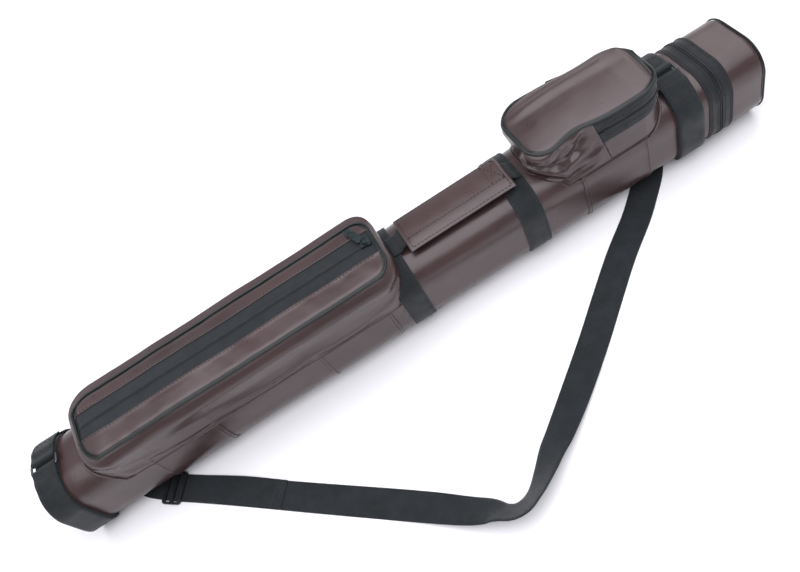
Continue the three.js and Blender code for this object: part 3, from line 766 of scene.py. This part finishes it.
def build_ring(end):
    """A flat wire ring held by a fold of the band on one side and by the strap's loop on the other."""
    low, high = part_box(end + "_ring")
    centre = (low + high) / 2
    half_x, half_y = (high.x - low.x) / 2 - RING_WIRE, (high.y - low.y) / 2 - RING_WIRE
    total = length_round(half_x, half_y, 2.2 * MM)
    spots = [rounded(u, half_x, half_y, 2.2 * MM)[0] for u in np.linspace(0, total, 72, endpoint=False)]
    path = [(centre.x + a, centre.y + b, centre.z) for a, b in spots]
    ring = sweep(end + "_wire_ring", path, UP, circle(RING_WIRE, 12), closed=True)
    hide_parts(end + "_ring")
    dress(ring, "ring_metal", "case")
    x0, x1 = span(end + "_strap_loop")
    for side, name in ((-1, end + "_band_fold"), (1, end + "_strap_loop_webbing")):
        line, normals = loop_line((x0 + x1) / 2, centre.y + side * half_y, centre.z, side)
        strip = sweep(name, line, normals, flat_profile(x1 - x0 + 2 * MM, LOOP_THICK))
        if side > 0:
            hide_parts(end + "_strap_loop")
        dress(strip, "webbing", "case")
        sew_loop(name + "_stitches", line, normals, x1 - x0)


def loop_line(x, bar, bar_z, side):
    """The middle of webbing that comes from under a ring's bar at y = bar, turns round it and runs
    back over itself and down the tube on that side."""
    under = tube_top(0, GAP + BAND) + LOOP_THICK / 2
    radius = RING_WIRE + LOOP_THICK / 2 + 0.1 * MM
    path = [(bar + side * d * MM, under) for d in (12, 8, 4)]
    for turn in np.linspace(-90, -270, 7):
        path.append((bar + side * radius * math.cos(math.radians(turn)),
                     bar_z + radius * math.sin(math.radians(turn))))
    path += [(bar + side * d * MM, under + h * MM) for d, h in ((4, 2.7), (8, 2.0), (13, 1.7))]
    first_s = TOP_S + bar + side * 19 * MM
    last_s, lift = (LOOP_END_S, 2.4 * MM) if side > 0 else (FOLD_END_S, 0.9 * MM)
    for s in np.linspace(first_s, last_s, 12):
        point, _ = on_tube(x, s, GAP + BAND + lift, soft=False)
        path.append((point[1], point[2]))
    line = smooth_curve([(x, y, z) for y, z in path], LOOP_STEPS * (len(path) - 1) + 1)
    return line, unit(np.cross(tangents(line), (1.0, 0, 0)))


def sew_loop(name, line, normals, width):
    """A sewn box across both layers of a loop, next to the ring."""
    sewn = slice(11 * LOOP_STEPS, 14 * LOOP_STEPS)
    up = np.where(normals[sewn, 2:] > 0, normals[sewn], -normals[sewn])
    top = line[sewn] + up * (LOOP_THICK / 2 + 0.1 * MM)
    half = np.array([width / 2 - 2.6 * MM, 0, 0])
    lines = [(top + half, up), (top - half, up)]
    lines += [(top[k] + np.linspace(-1, 1, 10)[:, None] * half, up[k]) for k in (0, -1)]
    sew(name, lines, "case")


# ---------------------------------------------------------------- lid
def build_lid():
    x0, x1 = span("lid_cover")
    outer = [(x, 0.0) for x in np.linspace(x0 + 0.6 * MM, x1 - 1.2 * MM, 26)]
    inner = -3 * MM
    profile = [(x0, -0.6 * MM)] + outer + [(x1, -1.0 * MM), (x1, inner), (x0, inner)]
    cover = wrap("lid_padded_cover", profile, "vinyl", "lid", "lid_cover")
    build_end_panel("lid_panel", "lid_top_panel", "lid", 1, 2.2 * MM)
    low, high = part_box("lid_rim_piping")
    arc = np.linspace(0, ROUND, 2 * AROUND, endpoint=False)
    x = (low.x + high.x) / 2
    spots = [on_tube(x, s, -0.1 * MM, soft=False) for s in arc]
    rim = sweep("lid_rim_cord", [p for p, _ in spots], np.array([n for _, n in spots]),
                circle(0.95 * MM, 10), closed=True)
    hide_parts("lid_rim_piping")
    dress(rim, "piping", "lid")


HINGE_HALF = 22 * MM                           # half the width of the fabric hinge, which has no zip


def build_mouth_zip():
    for body, node, name in (("case", "mouth_tape", "mouth_zip_tape"), ("lid", "lid_tape", "lid_zip_tape")):
        wrap(name, hem_profile(*span(node), 0.1 * MM, 0.95 * MM, 0.15 * MM, 1.2 * MM), "tape", body, node)
    arc = (FAR_S + HINGE_HALF, FAR_S - HINGE_HALF + ROUND)
    for body, side, node in (("case", -1, "mouth_teeth"), ("lid", 1, "lid_teeth")):
        path, normals = tube_line(SEAM_X + side * 0.25 * MM, 1.0 * MM, *arc, steps=240)
        coil(node + "_coil", path, normals, -side, node, body)
        rows = [tube_line(SEAM_X + side * d * MM, 1.1 * MM) for d in (4.2, 10.6, 12.2)]
        sew(node + "_stitches", rows, body, "thread", step=3.2 * MM, length=2.3 * MM)
    low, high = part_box("lid_hinge_strip")
    y = (low.y + high.y) / 2
    reach = SEAM_X - low.x
    rows = []
    for z in np.linspace(low.z, high.z, 16):
        rows.append([(x, y + 0.3 * MM * math.sin(math.pi * (x - low.x) / (2 * reach)), z)
                     for x in np.linspace(SEAM_X - reach, SEAM_X + reach, 40)])
    strip = grid("lid_hinge_tape", rows, wrap_cols=False)
    thicken(strip, 0.9 * MM)
    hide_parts("lid_hinge_strip")
    dress(strip, "tape")
    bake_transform(strip)


# ---------------------------------------------------------------- pockets
class Pocket:
    """A sewn pocket: its outline is that of its wall's node, drawn in (or let out) round its rim and
    round its foot by the millimetres given for its base, lid, near (-Y) and far (+Y) sides."""

    def __init__(self, wall, piping, corner, rim, foot, sway, foot_cut=0.0):
        low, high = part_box(wall)
        self.x = (low.x + high.x) / 2
        self.half_x = (high.x - low.x) / 2
        self.half_y = (high.y - low.y) / 2
        self.corner = corner
        self.total = length_round(self.half_x, self.half_y, corner)
        self.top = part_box(piping)[1].z
        self.rim_insets, self.foot_insets = rim, foot
        self.sway, self.foot_cut = sway, foot_cut
        self.rim_path = np.array([self.rim(u) for u in self.spread(720)])

    def spread(self, count):
        return np.linspace(0, self.total, count, endpoint=False)

    def outline(self, u, insets):
        """A point (x, y) and the outward normal, at arc length u from the middle of the -Y side,
        first towards the base."""
        (a, b), (na, nb) = rounded(u, self.half_x, self.half_y, self.corner)
        base, lid, near, far = insets
        x = self.x + a + (base * max(0, -na) - lid * max(0, na)) * MM
        y = b + (near * max(0, -nb) - far * max(0, nb)) * MM
        return (x, y), (na, nb)

    def rim(self, u):
        """The middle of the piping."""
        (x, y), normal = self.outline(u, self.rim_insets)
        dx, dy, dz = self.sway(x, y, *normal)
        return x + dx, y + dy, self.top + dz - CORD

    def foot(self, u, grow=0.0):
        """The wall's lower edge, sewn on round the tube's corners, and cut short at its base-near end."""
        (x, y), (na, nb) = self.outline(u, self.foot_insets)
        grow -= self.foot_cut * max(0, -na) * max(0, -nb)
        x, y = x + na * grow, y + nb * grow
        flat, radius = HALF - CORNER, CORNER + foot_lift(x)
        turn = min(1.0, max(0.0, abs(y) - flat) / CORNER)
        y = math.copysign(min(abs(y), flat) + radius * turn, y)
        return x, y, AXIS_Z + flat + radius * math.sqrt(1 - turn ** 2)

    def wall_point(self, u, share, belly, end=1.0):
        """A point on the wall, from its foot (share 0) to just under its rim (1)."""
        foot, rim = np.array(self.foot(u)), np.array(self.rim(u))
        rim[2] -= (1 - end) * (rim[2] - foot[2])
        _, (na, nb) = self.outline(u, self.foot_insets)
        out = belly * shoulder(share, 0.72 + 0.2 * max(0, nb) + 0.1 * abs(na))
        return foot + (rim - foot) * share + np.array([na * out, nb * out, 0])

    def edge(self, x, side):
        """The rim's (y, z) at x on the side given as -1 or +1."""
        half = self.rim_path[self.rim_path[:, 1] * side > -2 * MM]
        half = half[np.argsort(half[:, 0])]
        return np.interp(x, half[:, 0], half[:, 1]), np.interp(x, half[:, 0], half[:, 2])


CORD = 1.45 * MM                               # radius of the piping
CUFFS = [span(f"cuff_{k}") for k in (1, 2, 3)]


def foot_lift(x):
    """How high the pockets' feet lie on the tube: higher where they cross a cuff."""
    on_cuff = 0.0
    for start, end in CUFFS:
        inside = min(x - start, end - x) / (2.5 * MM)
        on_cuff = max(on_cuff, min(1.0, max(0.0, inside + 1)))
    return (0.8 + 1.1 * on_cuff) * MM


def shoulder(share, peak):
    """How far a wall stands out at each height: most at the share of its height called peak."""
    slack = 0.5
    power = slack * peak / (1 - peak)
    most = peak ** power * (1 - peak) ** slack
    return share ** power * (1 - share) ** slack / most


def long_sway(x, y, na, nb):
    """The rim's base end is skewed, and its far side lies a little lower."""
    return -0.12 * y * max(0, -na), 0.0, -1.2 * MM * max(0, nb)


def small_sway(x, y, na, nb):
    """The rim is drawn in beside the zip's near end, and let out and tucked down on its far side."""
    drawn_in = 6.5 * bell(x, SMALL_ZIP_X - 17 * MM, 22 * MM) * max(0, -nb)
    let_out = 4.5 * bell(x, SMALL_ZIP_X - 15 * MM, 26 * MM) * max(0, nb)
    return 0.0, (drawn_in + let_out) * MM, -tucked_down(x) * max(0, nb)


def tucked_down(x):
    """How far the front's far edge is pulled down, more beside the zip."""
    return (1.5 + 5.5 * min(1, max(0, (x - SMALL_ZIP_X) / (30 * MM) + 1.3))) * MM


SMALL_ZIP_X = span("small_zip_tape_lower")[0]
LONG = Pocket("long_pocket_wall", "long_pocket_piping", 24 * MM, (3, 6.5, -1.5, 5.5), (-11, 0, -3, -4),
              long_sway)
SMALL = Pocket("small_pocket_wall", "small_pocket_piping", 27 * MM, (1, -0.2, 4, -1), (2, 0, 0.5, -1),
               small_sway, foot_cut=16 * MM)
LONG_ZIP_Y = (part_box("long_zip_teeth_near")[1].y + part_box("long_zip_teeth_far")[0].y) / 2
TAPE_HALF = 16.3 * MM


def uneven(point, still_y=None):
    """Soft unevenness of a stuffed pocket: nothing at its foot, most round its front."""
    x, y, z = point
    share = min(1.0, max(0.0, (z - tube_top(y)) / (18 * MM)))
    calm = 1.0 if still_y is None else min(1.0, 0.1 + abs(y - still_y) / (20 * MM))
    sideways = 1.1 * noise.noise((x / 0.07, y / 0.06 + 3, 0.3))
    height = 1.0 * noise.noise((x / 0.06 + 9, y / 0.05, 0.7)) + 0.3 * noise.noise((x / 0.02, y / 0.03, 5))
    return np.array([x, y + sideways * share * calm * MM, z + height * share * calm * MM])


def soften(piece, still_y=None):
    for vertex in piece.data.vertices:
        vertex.co = uneven(vertex.co, still_y)
    piece.data.update()
    return piece


def look_outwards(piece, pocket):
    """Makes an open wall's faces look away from its pocket."""
    if sum(p.normal.x * (p.center.x - pocket.x) + p.normal.y * p.center.y for p in piece.data.polygons) < 0:
        piece.data.flip_normals()
    return piece


def turn_up(piece):
    """Makes an open sheet's faces look upwards."""
    if sum(p.normal.z for p in piece.data.polygons) < 0:
        piece.data.flip_normals()
    return piece


def fold(share, along, start, end, depth, width):
    """Height of a soft ridge (or hollow) along a line between two (along, share) spots of a wall.
    The wall counts as 46 mm high; along and width are in mm."""
    spot = np.array([along, share * 46])
    a, b = np.array(start, float), np.array(end, float)
    way = b - a
    t = min(1.0, max(0.0, float(np.dot(spot - a, way) / np.dot(way, way))))
    away = float(np.linalg.norm(spot - a - way * t))
    fade = 0.35 + 0.65 * math.sin(math.pi * (0.08 + 0.84 * t))
    return depth * fade * bell(away, 0, width)


def settle_wall(wall, points, closed, stretch, weight, cap):
    """Lets a wall settle as cloth between its sewn edges, cut stretch times too tall."""
    points = np.asarray(points)
    pins = np.zeros(points.shape[:2])
    pins[0] = pins[-1] = 1.0
    if not closed:
        pins[:, 0] = pins[:, -1] = 1.0
    rest = points.copy()
    rest[:, :, 2] = points[0, :, 2] + (points[:, :, 2] - points[0, :, 2]) * stretch
    simulate(wall, pins.ravel(), 16, cap, rest=rest.reshape(-1, 3), gravity=(0, 0, -weight))


LONG_BELLY = (6.5, 5.0, 6.0, 13.0)             # mm out at the base, lid, near and far sides
# Lengthwise ridges and hollows of the near side: (height in mm, share of the wall's height, width)
LONG_RIDGES = ((3.0, 0.79, 0.09), (-8.0, 0.95, 0.04), (-2.4, 0.45, 0.16))
# (start, end, height, width) in mm, from the base end
LONG_FOLDS = (((18, 13), (58, 6), -2.6, 3.2), ((22, 20), (66, 11), 1.4, 3))


def build_long_pocket():
    def belly(u):
        _, (na, nb) = LONG.outline(u, LONG.foot_insets)
        facing = (-na, na, -nb, nb)
        return sum(out * max(0, share) ** 2 for out, share in zip(LONG_BELLY, facing)) * MM

    def folds(u, share):
        """Creases round the base-near corner and a lengthwise ridge on the near side."""
        (x, _), (na, nb) = LONG.outline(u, LONG.foot_insets)
        along = (x - (LONG.x - LONG.half_x)) / MM
        ridge = sum(height * bell(share, at, width) for height, at, width in LONG_RIDGES)
        swing = 0.75 + 0.5 * noise.noise((x / 0.05, 4.0, 1.0))
        lens = sum(fold(share, along, *line) for line in LONG_FOLDS)
        return (ridge * swing + lens) * max(0, -nb) * MM

    cols, rows = 300, 24
    points = []
    for share in 1 - (1 - np.linspace(0, 1, rows)) ** 1.35:
        row = []
        for u in LONG.spread(cols):
            point = LONG.wall_point(u, share, belly(u), 0.99)
            _, (na, nb) = LONG.outline(u, LONG.foot_insets)
            point += np.array([na, nb, 0]) * folds(u, share) * math.sin(math.pi * share)
            point[2] += 3 * MM * max(0, nb) * bell(share, 0.92, 0.06)
            row.append(point)
        points.append(row)
    wall = grid("long_pocket_gusset", points)
    settle_wall(wall, points, True, 1.03, 1.0, 1.6 * MM)
    thicken(soften(wall), 1.2 * MM)
    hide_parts("long_pocket_wall")
    dress(wall, "vinyl", "case")
    foot_bead("long_pocket_foot_hem", LONG)
    dress(piping_ring("long_pocket_piping_cord", LONG, "long_pocket_piping"), "piping", "case")
    build_long_front()


def foot_bead(name, pocket):
    """The folded edge where a pocket's wall is sewn to the tube."""
    path = [pocket.foot(u, 1.2 * MM) for u in pocket.spread(300)]
    normals = []
    for _, y, _ in path:
        slope = min(0.97, max(0.0, abs(y) - (HALF - CORNER)) / CORNER)
        normals.append((0, math.copysign(slope, y), math.sqrt(1 - slope ** 2)))
    bead = sweep(name, path, unit(np.array(normals)), circle(1.1 * MM, 8, 0.5), closed=True)
    return dress(bead, "vinyl", "case")


def piping_ring(name, pocket, *nodes):
    path = [uneven(pocket.rim(u)) for u in pocket.spread(360)]
    cord = sweep(name, path, UP, circle(CORD, 12), closed=True)
    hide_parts(*nodes)
    return cord


def front_height(pocket, x, y, crown, far_drop=0.0):
    """Height of a pocket's front between its near and far rims: crowned, tucked in at the piping, and
    rolled over its far edge, which lies far_drop lower."""
    (near_y, near_z), (far_y, far_z) = pocket.edge(x, -1), pocket.edge(x, 1)
    share = min(1.0, max(0.0, (y - near_y) / max(MM, far_y - near_y)))
    from_end = pocket.half_x - abs(x - pocket.x)
    border = min(y - near_y, far_y - y, from_end - 4 * MM)
    tuck = 1.0 - min(1.0, max(0.0, border / (7 * MM)))
    ends = min(1.0, max(0.0, from_end / (28 * MM)))
    flat = near_z + (far_z + far_drop - near_z) * share
    over = far_drop * (1.0 - min(1.0, max(0.0, (far_y - y) / (6 * MM)))) ** 2
    return flat - over + crown * (1 - (2 * share - 1) ** 2) * ends + 0.5 * MM - 2.0 * MM * tuck ** 2


def build_flange(name, pocket, surface, width):
    """The piping's flat edge, which shows as a dark line inside the cord."""
    rows = []
    for inwards in np.linspace(0.2 * MM, width, 6):
        row = []
        for u in pocket.spread(360):
            x, y, _ = pocket.rim(u)
            _, (na, nb) = pocket.outline(u, pocket.rim_insets)
            x, y = x - na * inwards, y - nb * inwards
            row.append((x, y, surface(x, y) + 0.45 * MM))
        rows.append(row)
    flange = grid(name, rows)
    thicken(turn_up(soften(flange)), 0.6 * MM)
    return flange


def strip_between(name, xs, inner, outer, height, rows):
    """An open sheet between two edges, inner(x) and outer(x), at height(x, y)."""
    points = []
    for t in np.linspace(0, 1, rows):
        points.append([(x, inner(x) + (outer(x) - inner(x)) * t,
                        height(x, inner(x) + (outer(x) - inner(x)) * t)) for x in xs])
    return grid(name, points, wrap_cols=False)


def build_long_front():
    x0, x1 = LONG.rim_path[:, 0].min() + 0.6 * MM, LONG.rim_path[:, 0].max() - 0.6 * MM
    ends = 14 * MM * (1 - np.cos(np.linspace(0, math.pi, 34)[:17]))
    xs = np.concatenate([x0 + ends, np.linspace(x0 + 16 * MM, x1 - 16 * MM, 130), x1 - ends[::-1]])

    def surface(x, y):
        ripple = 0.75 * noise.noise((x / 0.016 + 0.4 * y / 0.02, 2.0, 1.0))
        ripple += 0.5 * noise.noise((x / 0.045, 6, 2))
        off_zip = min(1.0, max(0.0, (abs(y - LONG_ZIP_Y) - TAPE_HALF) / (9 * MM)))
        strength = 1.0 if y < LONG_ZIP_Y else 0.6
        return front_height(LONG, x, y, 1.6 * MM) + ripple * off_zip * strength * MM

    for side, node in ((-1, "near"), (1, "far")):
        fold_y = LONG_ZIP_Y + side * TAPE_HALF

        def outer(x):
            return side * max(side * LONG.edge(x, side)[0] - 0.6 * MM, side * fold_y + 0.2 * MM)

        def hem(x, y):
            return surface(x, y) + 0.6 * MM * bell(y, fold_y, 2.6 * MM)

        panel = strip_between(f"long_pocket_panel_{node}", xs, lambda x: fold_y, outer, hem, rows=16)
        thicken(turn_up(soften(panel, LONG_ZIP_Y)), 1.4 * MM)
        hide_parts(f"long_pocket_front_{node}")
        dress(panel, "vinyl", "case")
        build_long_tape(side, node, xs, surface)
        row = [uneven((x, fold_y + side * 2.2 * MM, hem(x, fold_y + side * 2.2 * MM)), LONG_ZIP_Y)
               for x in np.linspace(x0 + 8 * MM, x1 - 8 * MM, 160)]
        sew(f"long_panel_{node}_stitches", [(np.array(row), UP)], "case")
    dress(build_flange("long_pocket_piping_flange", LONG, surface, 3.4 * MM), "piping", "case")


def build_long_tape(side, node, xs, surface):
    def low(x, y):
        return surface(x, y) - 0.6 * MM

    def start(x):
        return LONG_ZIP_Y + side * 0.25 * MM

    def end(x):
        reach = side * LONG.edge(x, side)[0] - 1 * MM
        return LONG_ZIP_Y + side * max(0.5 * MM, min(TAPE_HALF + 1.5 * MM, reach))

    tape = strip_between(f"long_zip_{node}_tape", xs, start, end, low, 10)
    thicken(turn_up(soften(tape, LONG_ZIP_Y)), 0.7 * MM)
    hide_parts(f"long_zip_tape_{node}")
    dress(tape, "tape", "case")
    inside = np.linspace(xs[0] + 2 * MM, xs[-1] - 3 * MM, 180)
    line = np.array([uneven((x, LONG_ZIP_Y, low(x, LONG_ZIP_Y)), LONG_ZIP_Y) for x in inside])
    coil(f"long_zip_{node}_coil", line, UP, side, f"long_zip_teeth_{node}", "case")


TAPE_FOOT = 0.5                                # the zip's tape starts this share of the way up the wall
SEAM_LEAN = 9 * MM                             # the seam beside the zip leans this far to the lid


def flap_blend(piece):
    """Bakes a piece's placement into its mesh."""
    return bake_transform(piece)


def small_belly(u):
    """How far the wall stands out, most at its base-near corner."""
    _, (na, nb) = SMALL.outline(u, SMALL.foot_insets)
    corner = max(0, -na) * max(0, -nb) * 2
    return (1.2 + 4.5 * corner + 2.0 * max(0, -na) + 2.0 * max(0, nb)) * MM


SMALL_FOLDS = (                                # (start, end, height, width), from the seam to the base
    ((-4, 37), (78, 38), -2.6, 4.0), ((18, 42), (56, 35), 2.6, 2.6), ((6, 45), (32, 22), -3.2, 2.8),
    ((15, 45), (40, 26), 2.8, 3.0), ((26, 29), (88, 23), -6.5, 4.6), ((10, 13), (96, 13), 4.2, 5.6),
    ((14, 23), (50, 18), 2.4, 2.6), ((18, 6), (52, 5), -2.2, 2.4), ((84, 40), (104, 12), -2.6, 4.0),
    ((-2, 20), (14, 12), 2.0, 3.5), ((70, 32), (96, 30), 1.8, 3.0),
)


def small_wall_point(u, share, start):
    """The small pocket's wall, whose folds gather round its base-near corner."""
    point = SMALL.wall_point(u, share, small_belly(u), 0.99)
    _, (na, nb) = SMALL.outline(u, SMALL.foot_insets)
    along = (u - start) / MM
    height = sum(fold(share, along, *line) for line in SMALL_FOLDS)
    leaning = SEAM_LEAN * (1 - share) * bell(u, start, 26 * MM) * max(0, -nb)
    raised = np.array([na, nb, 0.3]) * height * MM * math.sin(math.pi * share) ** 0.6
    return point + raised + [leaning, 0, 0]


def build_small_pocket():
    reach = SMALL.x - SMALL_ZIP_X
    near_end, far_end = reach, SMALL.total / 2 - reach
    gathered = np.linspace(near_end, far_end, 120)
    points = [[small_wall_point(u, share, near_end) for u in gathered] for share in np.linspace(0, 1, 26)]
    wall = grid("small_pocket_gathered_wall", points, wrap_cols=False)
    settle_wall(wall, points, False, 1.02, 1.0, 2.5 * MM)
    thicken(soften(look_outwards(wall, SMALL)), 1.2 * MM)
    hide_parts("small_pocket_wall")
    dress(wall, "vinyl", "case")
    zipped = np.linspace(far_end, SMALL.total + near_end, 130)
    points = [[small_wall_point(u, share, SMALL.total + near_end) for u in zipped]
              for share in np.linspace(0, TAPE_FOOT + 0.03, 12)]
    low_wall = grid("small_pocket_low_wall", points, wrap_cols=False)
    settle_wall(low_wall, points, False, 1.08, 1.5, 3 * MM)
    thicken(soften(look_outwards(low_wall, SMALL)), 1.2 * MM)
    dress(low_wall, "vinyl", "case")
    foot_bead("small_pocket_foot_hem", SMALL)
    cord = piping_ring("small_pocket_piping_cord", SMALL, "small_pocket_piping", "flap_piping")
    flap_blend(dress(cord, "piping"))
    build_small_front()
    build_small_zip(zipped, near_end, far_end)


def build_small_front():
    x0, x1 = SMALL.rim_path[:, 0].min() + 0.8 * MM, SMALL.rim_path[:, 0].max() - 0.8 * MM
    xs = (x0 + x1) / 2 - (x1 - x0) / 2 * np.cos(np.linspace(0, math.pi, 72))
    rows = 60

    def surface(x, y):
        """Crowned, with a ridge along the far third and a dip beside it."""
        ridge_y = 25 * MM + 2.5 * MM * math.sin((x - x0) / (40 * MM))
        ridge = 1.7 * bell(y, ridge_y, 6.5 * MM)
        dip = -1.1 * bell(y, ridge_y - 13 * MM, 7 * MM)
        second = 0.8 * bell(y, ridge_y + 9 * MM, 3 * MM) * bell(x, x0 + 50 * MM, 30 * MM)
        ends = min(1.0, max(0.0, (SMALL.half_x - abs(x - SMALL.x)) / (30 * MM)))
        return front_height(SMALL, x, y, 3.2 * MM, tucked_down(x)) + (ridge + dip + second) * ends * MM

    points = []
    for t in np.linspace(0, 1, rows):
        row = []
        for x in xs:
            near_y, far_y = SMALL.edge(x, -1)[0] + 0.6 * MM, SMALL.edge(x, 1)[0] - 0.6 * MM
            y = near_y + (far_y - near_y) * (0.5 - 0.5 * math.cos(math.pi * t))
            row.append((x, y, surface(x, y)))
        points.append(row)
    front = grid("small_pocket_panel", points, wrap_cols=False)
    thicken(turn_up(soften(front)), 1.4 * MM, smooth=0)
    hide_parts("small_pocket_front", "flap_front")
    dress(front, "vinyl")
    flap_blend(front)
    flap_blend(dress(build_flange("small_pocket_piping_flange", SMALL, surface, 3.8 * MM), "piping"))


def build_small_zip(arc, near_end, far_end):
    """Both tapes of the small pocket's zip, its two coils, and the seams at its ends."""
    start = SMALL.total + near_end
    middle = (TAPE_FOOT + 0.985) / 2

    def spot(u, share, lift):
        _, (na, nb) = SMALL.outline(u, SMALL.foot_insets)
        return uneven(small_wall_point(u, share, start) + np.array([na, nb, 0]) * lift)

    for body, node, low, high in (("case", "lower", TAPE_FOOT - 0.02, middle - 0.008),
                                  ("flap", "upper", middle + 0.008, 0.985)):
        rows = [[spot(u, share, 0.2 * MM) for u in arc] for share in np.linspace(low, high, 9)]
        tape = grid(f"small_zip_{node}_tape", rows, wrap_cols=False)
        thicken(look_outwards(tape, SMALL), 0.9 * MM)
        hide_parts(f"small_zip_tape_{node}")
        dress(tape, "tape", body)
        side = -1 if body == "case" else 1
        normals = np.array([(*SMALL.outline(u, SMALL.foot_insets)[1], 0.0) for u in arc[3:-3]])
        path = np.array([spot(u, middle + side * 0.004, 0.3 * MM) for u in arc[3:-3]])
        coil(f"small_zip_{node}_coil", path, normals, side, f"small_zip_teeth_{node}", body)
        line = np.array([spot(u, middle + side * 0.13, 0.3 * MM) for u in arc[3:-3]])
        sew(f"small_zip_{node}_stitches", [(line, normals)], body)
    seams = []
    for u in (near_end - 1.6 * MM, near_end + 2.2 * MM, far_end - 2.2 * MM):
        _, (na, nb) = SMALL.outline(u, SMALL.foot_insets)
        line = [uneven(small_wall_point(u, share, near_end) + np.array([na, nb, 0]) * 0.2 * MM)
                for share in np.linspace(0.05, 0.93 if u > near_end else TAPE_FOOT, 24)]
        seams.append((np.array(line), (na, nb, 0.0)))
    sew("small_pocket_seam_stitches", seams, "case", "grey_thread")


# ---------------------------------------------------------------- handle
HANDLE_SEAM_Y = -9 * MM                        # the sleeve's long seam, from the handle's middle


def build_handle():
    low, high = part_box("handle_grip")
    centre, half = (low + high) / 2, (high - low) / 2
    across = 36
    ring = []
    for k in range(2 * across):
        t = -1 + 2 * (k % across) / across if k < across else 1 - 2 * (k % across) / across
        thick = half.z * (1 - 0.75 * abs(t) ** 5)
        ring.append((t * (half.y - 0.8 * MM), (1 if k < across else -1) * thick * 0.8))
    columns = np.linspace(-1, 1, 84)
    points = []
    for t in columns:
        ends = 1 - 0.55 * abs(t) ** 14
        bow = -1.3 * MM
        row = []
        for y, z in ring:
            arch = bow * (y / half.y) ** 2
            row.append((centre.x + t * (half.x - 0.6 * MM), centre.y + y, centre.z + z * ends + arch))
        points.append(row)
    points = np.array(points)
    grip = grid("handle_padded_grip", points, caps=True)
    hem_x, hem_y = half.x - 5 * MM, half.y - 4.2 * MM
    pins = np.zeros(points.shape[:2])
    for i, row in enumerate(points):
        for j, (x, y, z) in enumerate(row):
            dx, dy = abs(x - centre.x), abs(y - centre.y)
            on_end_hem = abs(dx - hem_x) < 1.6 * MM and dy < hem_y
            on_side_hem = abs(dy - hem_y) < 0.8 * MM and dx < hem_x
            on_seam = abs(y - centre.y - HANDLE_SEAM_Y) < 0.8 * MM and dx < hem_x
            at_end = dx > half.x - 1.5 * MM
            pins[i, j] = 1.0 if on_end_hem or on_side_hem or on_seam or at_end else 0.0
    simulate(grip, pins.ravel(), 14, 1.6 * MM, pressure=3.0)
    grip.modifiers.new("smooth", "SUBSURF").levels = 1
    settle(grip)
    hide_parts("handle_grip")
    dress(grip, "vinyl", "handle")
    sew_handle(centre, half, hem_x, hem_y)
    webbing_through(centre, half)


def sew_handle(centre, half, hem_x, hem_y):
    def surface(x, y):
        t = (y - centre.y) / (half.y - 0.8 * MM)
        thick = half.z * 0.8 * (1 - 0.75 * min(1, abs(t)) ** 5)
        return centre.z + thick - 1.3 * MM * ((y - centre.y) / half.y) ** 2 + 0.05 * MM

    def row(x0, y0, x1, y1):
        xs, ys = np.linspace(x0, x1, 40), np.linspace(y0, y1, 40)
        return np.array([(centre.x + x, centre.y + y, surface(centre.x + x, centre.y + y))
                         for x, y in zip(xs, ys)]), UP

    box_x = hem_x - 15 * MM
    lines = [row(-hem_x, hem_y, hem_x, hem_y), row(-hem_x, -hem_y, hem_x, -hem_y),
             row(-hem_x, -hem_y, -hem_x, hem_y), row(hem_x, -hem_y, hem_x, hem_y),
             row(-hem_x, HANDLE_SEAM_Y, hem_x, HANDLE_SEAM_Y), row(box_x, HANDLE_SEAM_Y, box_x, hem_y),
             row(box_x, HANDLE_SEAM_Y, hem_x, hem_y), row(box_x, hem_y, hem_x, HANDLE_SEAM_Y)]
    sew("handle_stitches", lines, "handle")


def webbing_through(centre, half):
    low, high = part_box("handle_webbing")
    middle = (low.y + high.y) / 2
    foot = low.z + 0.8 * MM
    x0, x1 = low.x, high.x
    grip0, grip1 = centre.x - half.x, centre.x + half.x
    spots = [(x0, foot), (x0 + 4 * MM, foot), (grip0 - 6 * MM, foot + 0.5 * MM),
             (grip0 - 0.5 * MM, centre.z - 1.5 * MM), (grip0 + 6 * MM, centre.z), (centre.x, centre.z),
             (grip1 - 6 * MM, centre.z), (grip1 + 0.5 * MM, centre.z - 1.5 * MM), (x1 - 4 * MM, foot),
             (x1, foot)]
    line = smooth_curve([(x, middle, z) for x, z in spots], 90)
    strip = sweep("handle_webbing_strip", line, UP, flat_profile(high.y - low.y, 1.5 * MM))
    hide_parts("handle_webbing")
    dress(strip, "webbing", "handle")


# ---------------------------------------------------------------- CAD pieces that stay
KEPT = {
    "tube_core": "core", "base_plug": "core", "lid_core": "core", "lid_pad": "lining",
    "divider_upright": "lining", "divider_right": "lining", "divider_left": "lining",
    "long_pocket_back": "vinyl", "small_pocket_back": "vinyl", "strap_adjuster": "buckle",
    "lid_zip_slider": "zip_metal", "lid_zip_pull": "zip_metal", "long_zip_slider": "zip_metal",
    "long_zip_pull": "zip_metal", "small_zip_slider": "zip_metal", "small_zip_pull": "zip_metal",
}
BEVELS = {"strap_adjuster": 0.6 * MM, "zip_metal": 0.35 * MM, "lining": 1.0 * MM}


def dress_kept_nodes():
    for name, look in KEPT.items():
        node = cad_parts[name]
        dress(node, look)
        width = BEVELS.get(name, BEVELS.get(look, 0))
        if width:
            bevel = node.modifiers.new("worn_edges", "BEVEL")
            bevel.width = width
            bevel.segments = 3
            bevel.limit_method = "ANGLE"
            bevel.angle_limit = math.radians(40)


def add_floor():
    mesh = bpy.data.meshes.new("floor")
    reach = 6.0
    mesh.from_pydata([(-reach, -reach, 0), (reach, -reach, 0), (reach, reach, 0), (-reach, reach, 0)],
                     [], [(0, 1, 2, 3)])
    mesh.materials.append(floor_look())
    floor = new_object("floor", mesh)


add_camera()
add_studio()
add_floor()
build_strap()
build_tube()
build_bands()
build_lid()
build_mouth_zip()
build_long_pocket()
build_small_pocket()
build_handle()
dress_kept_nodes()
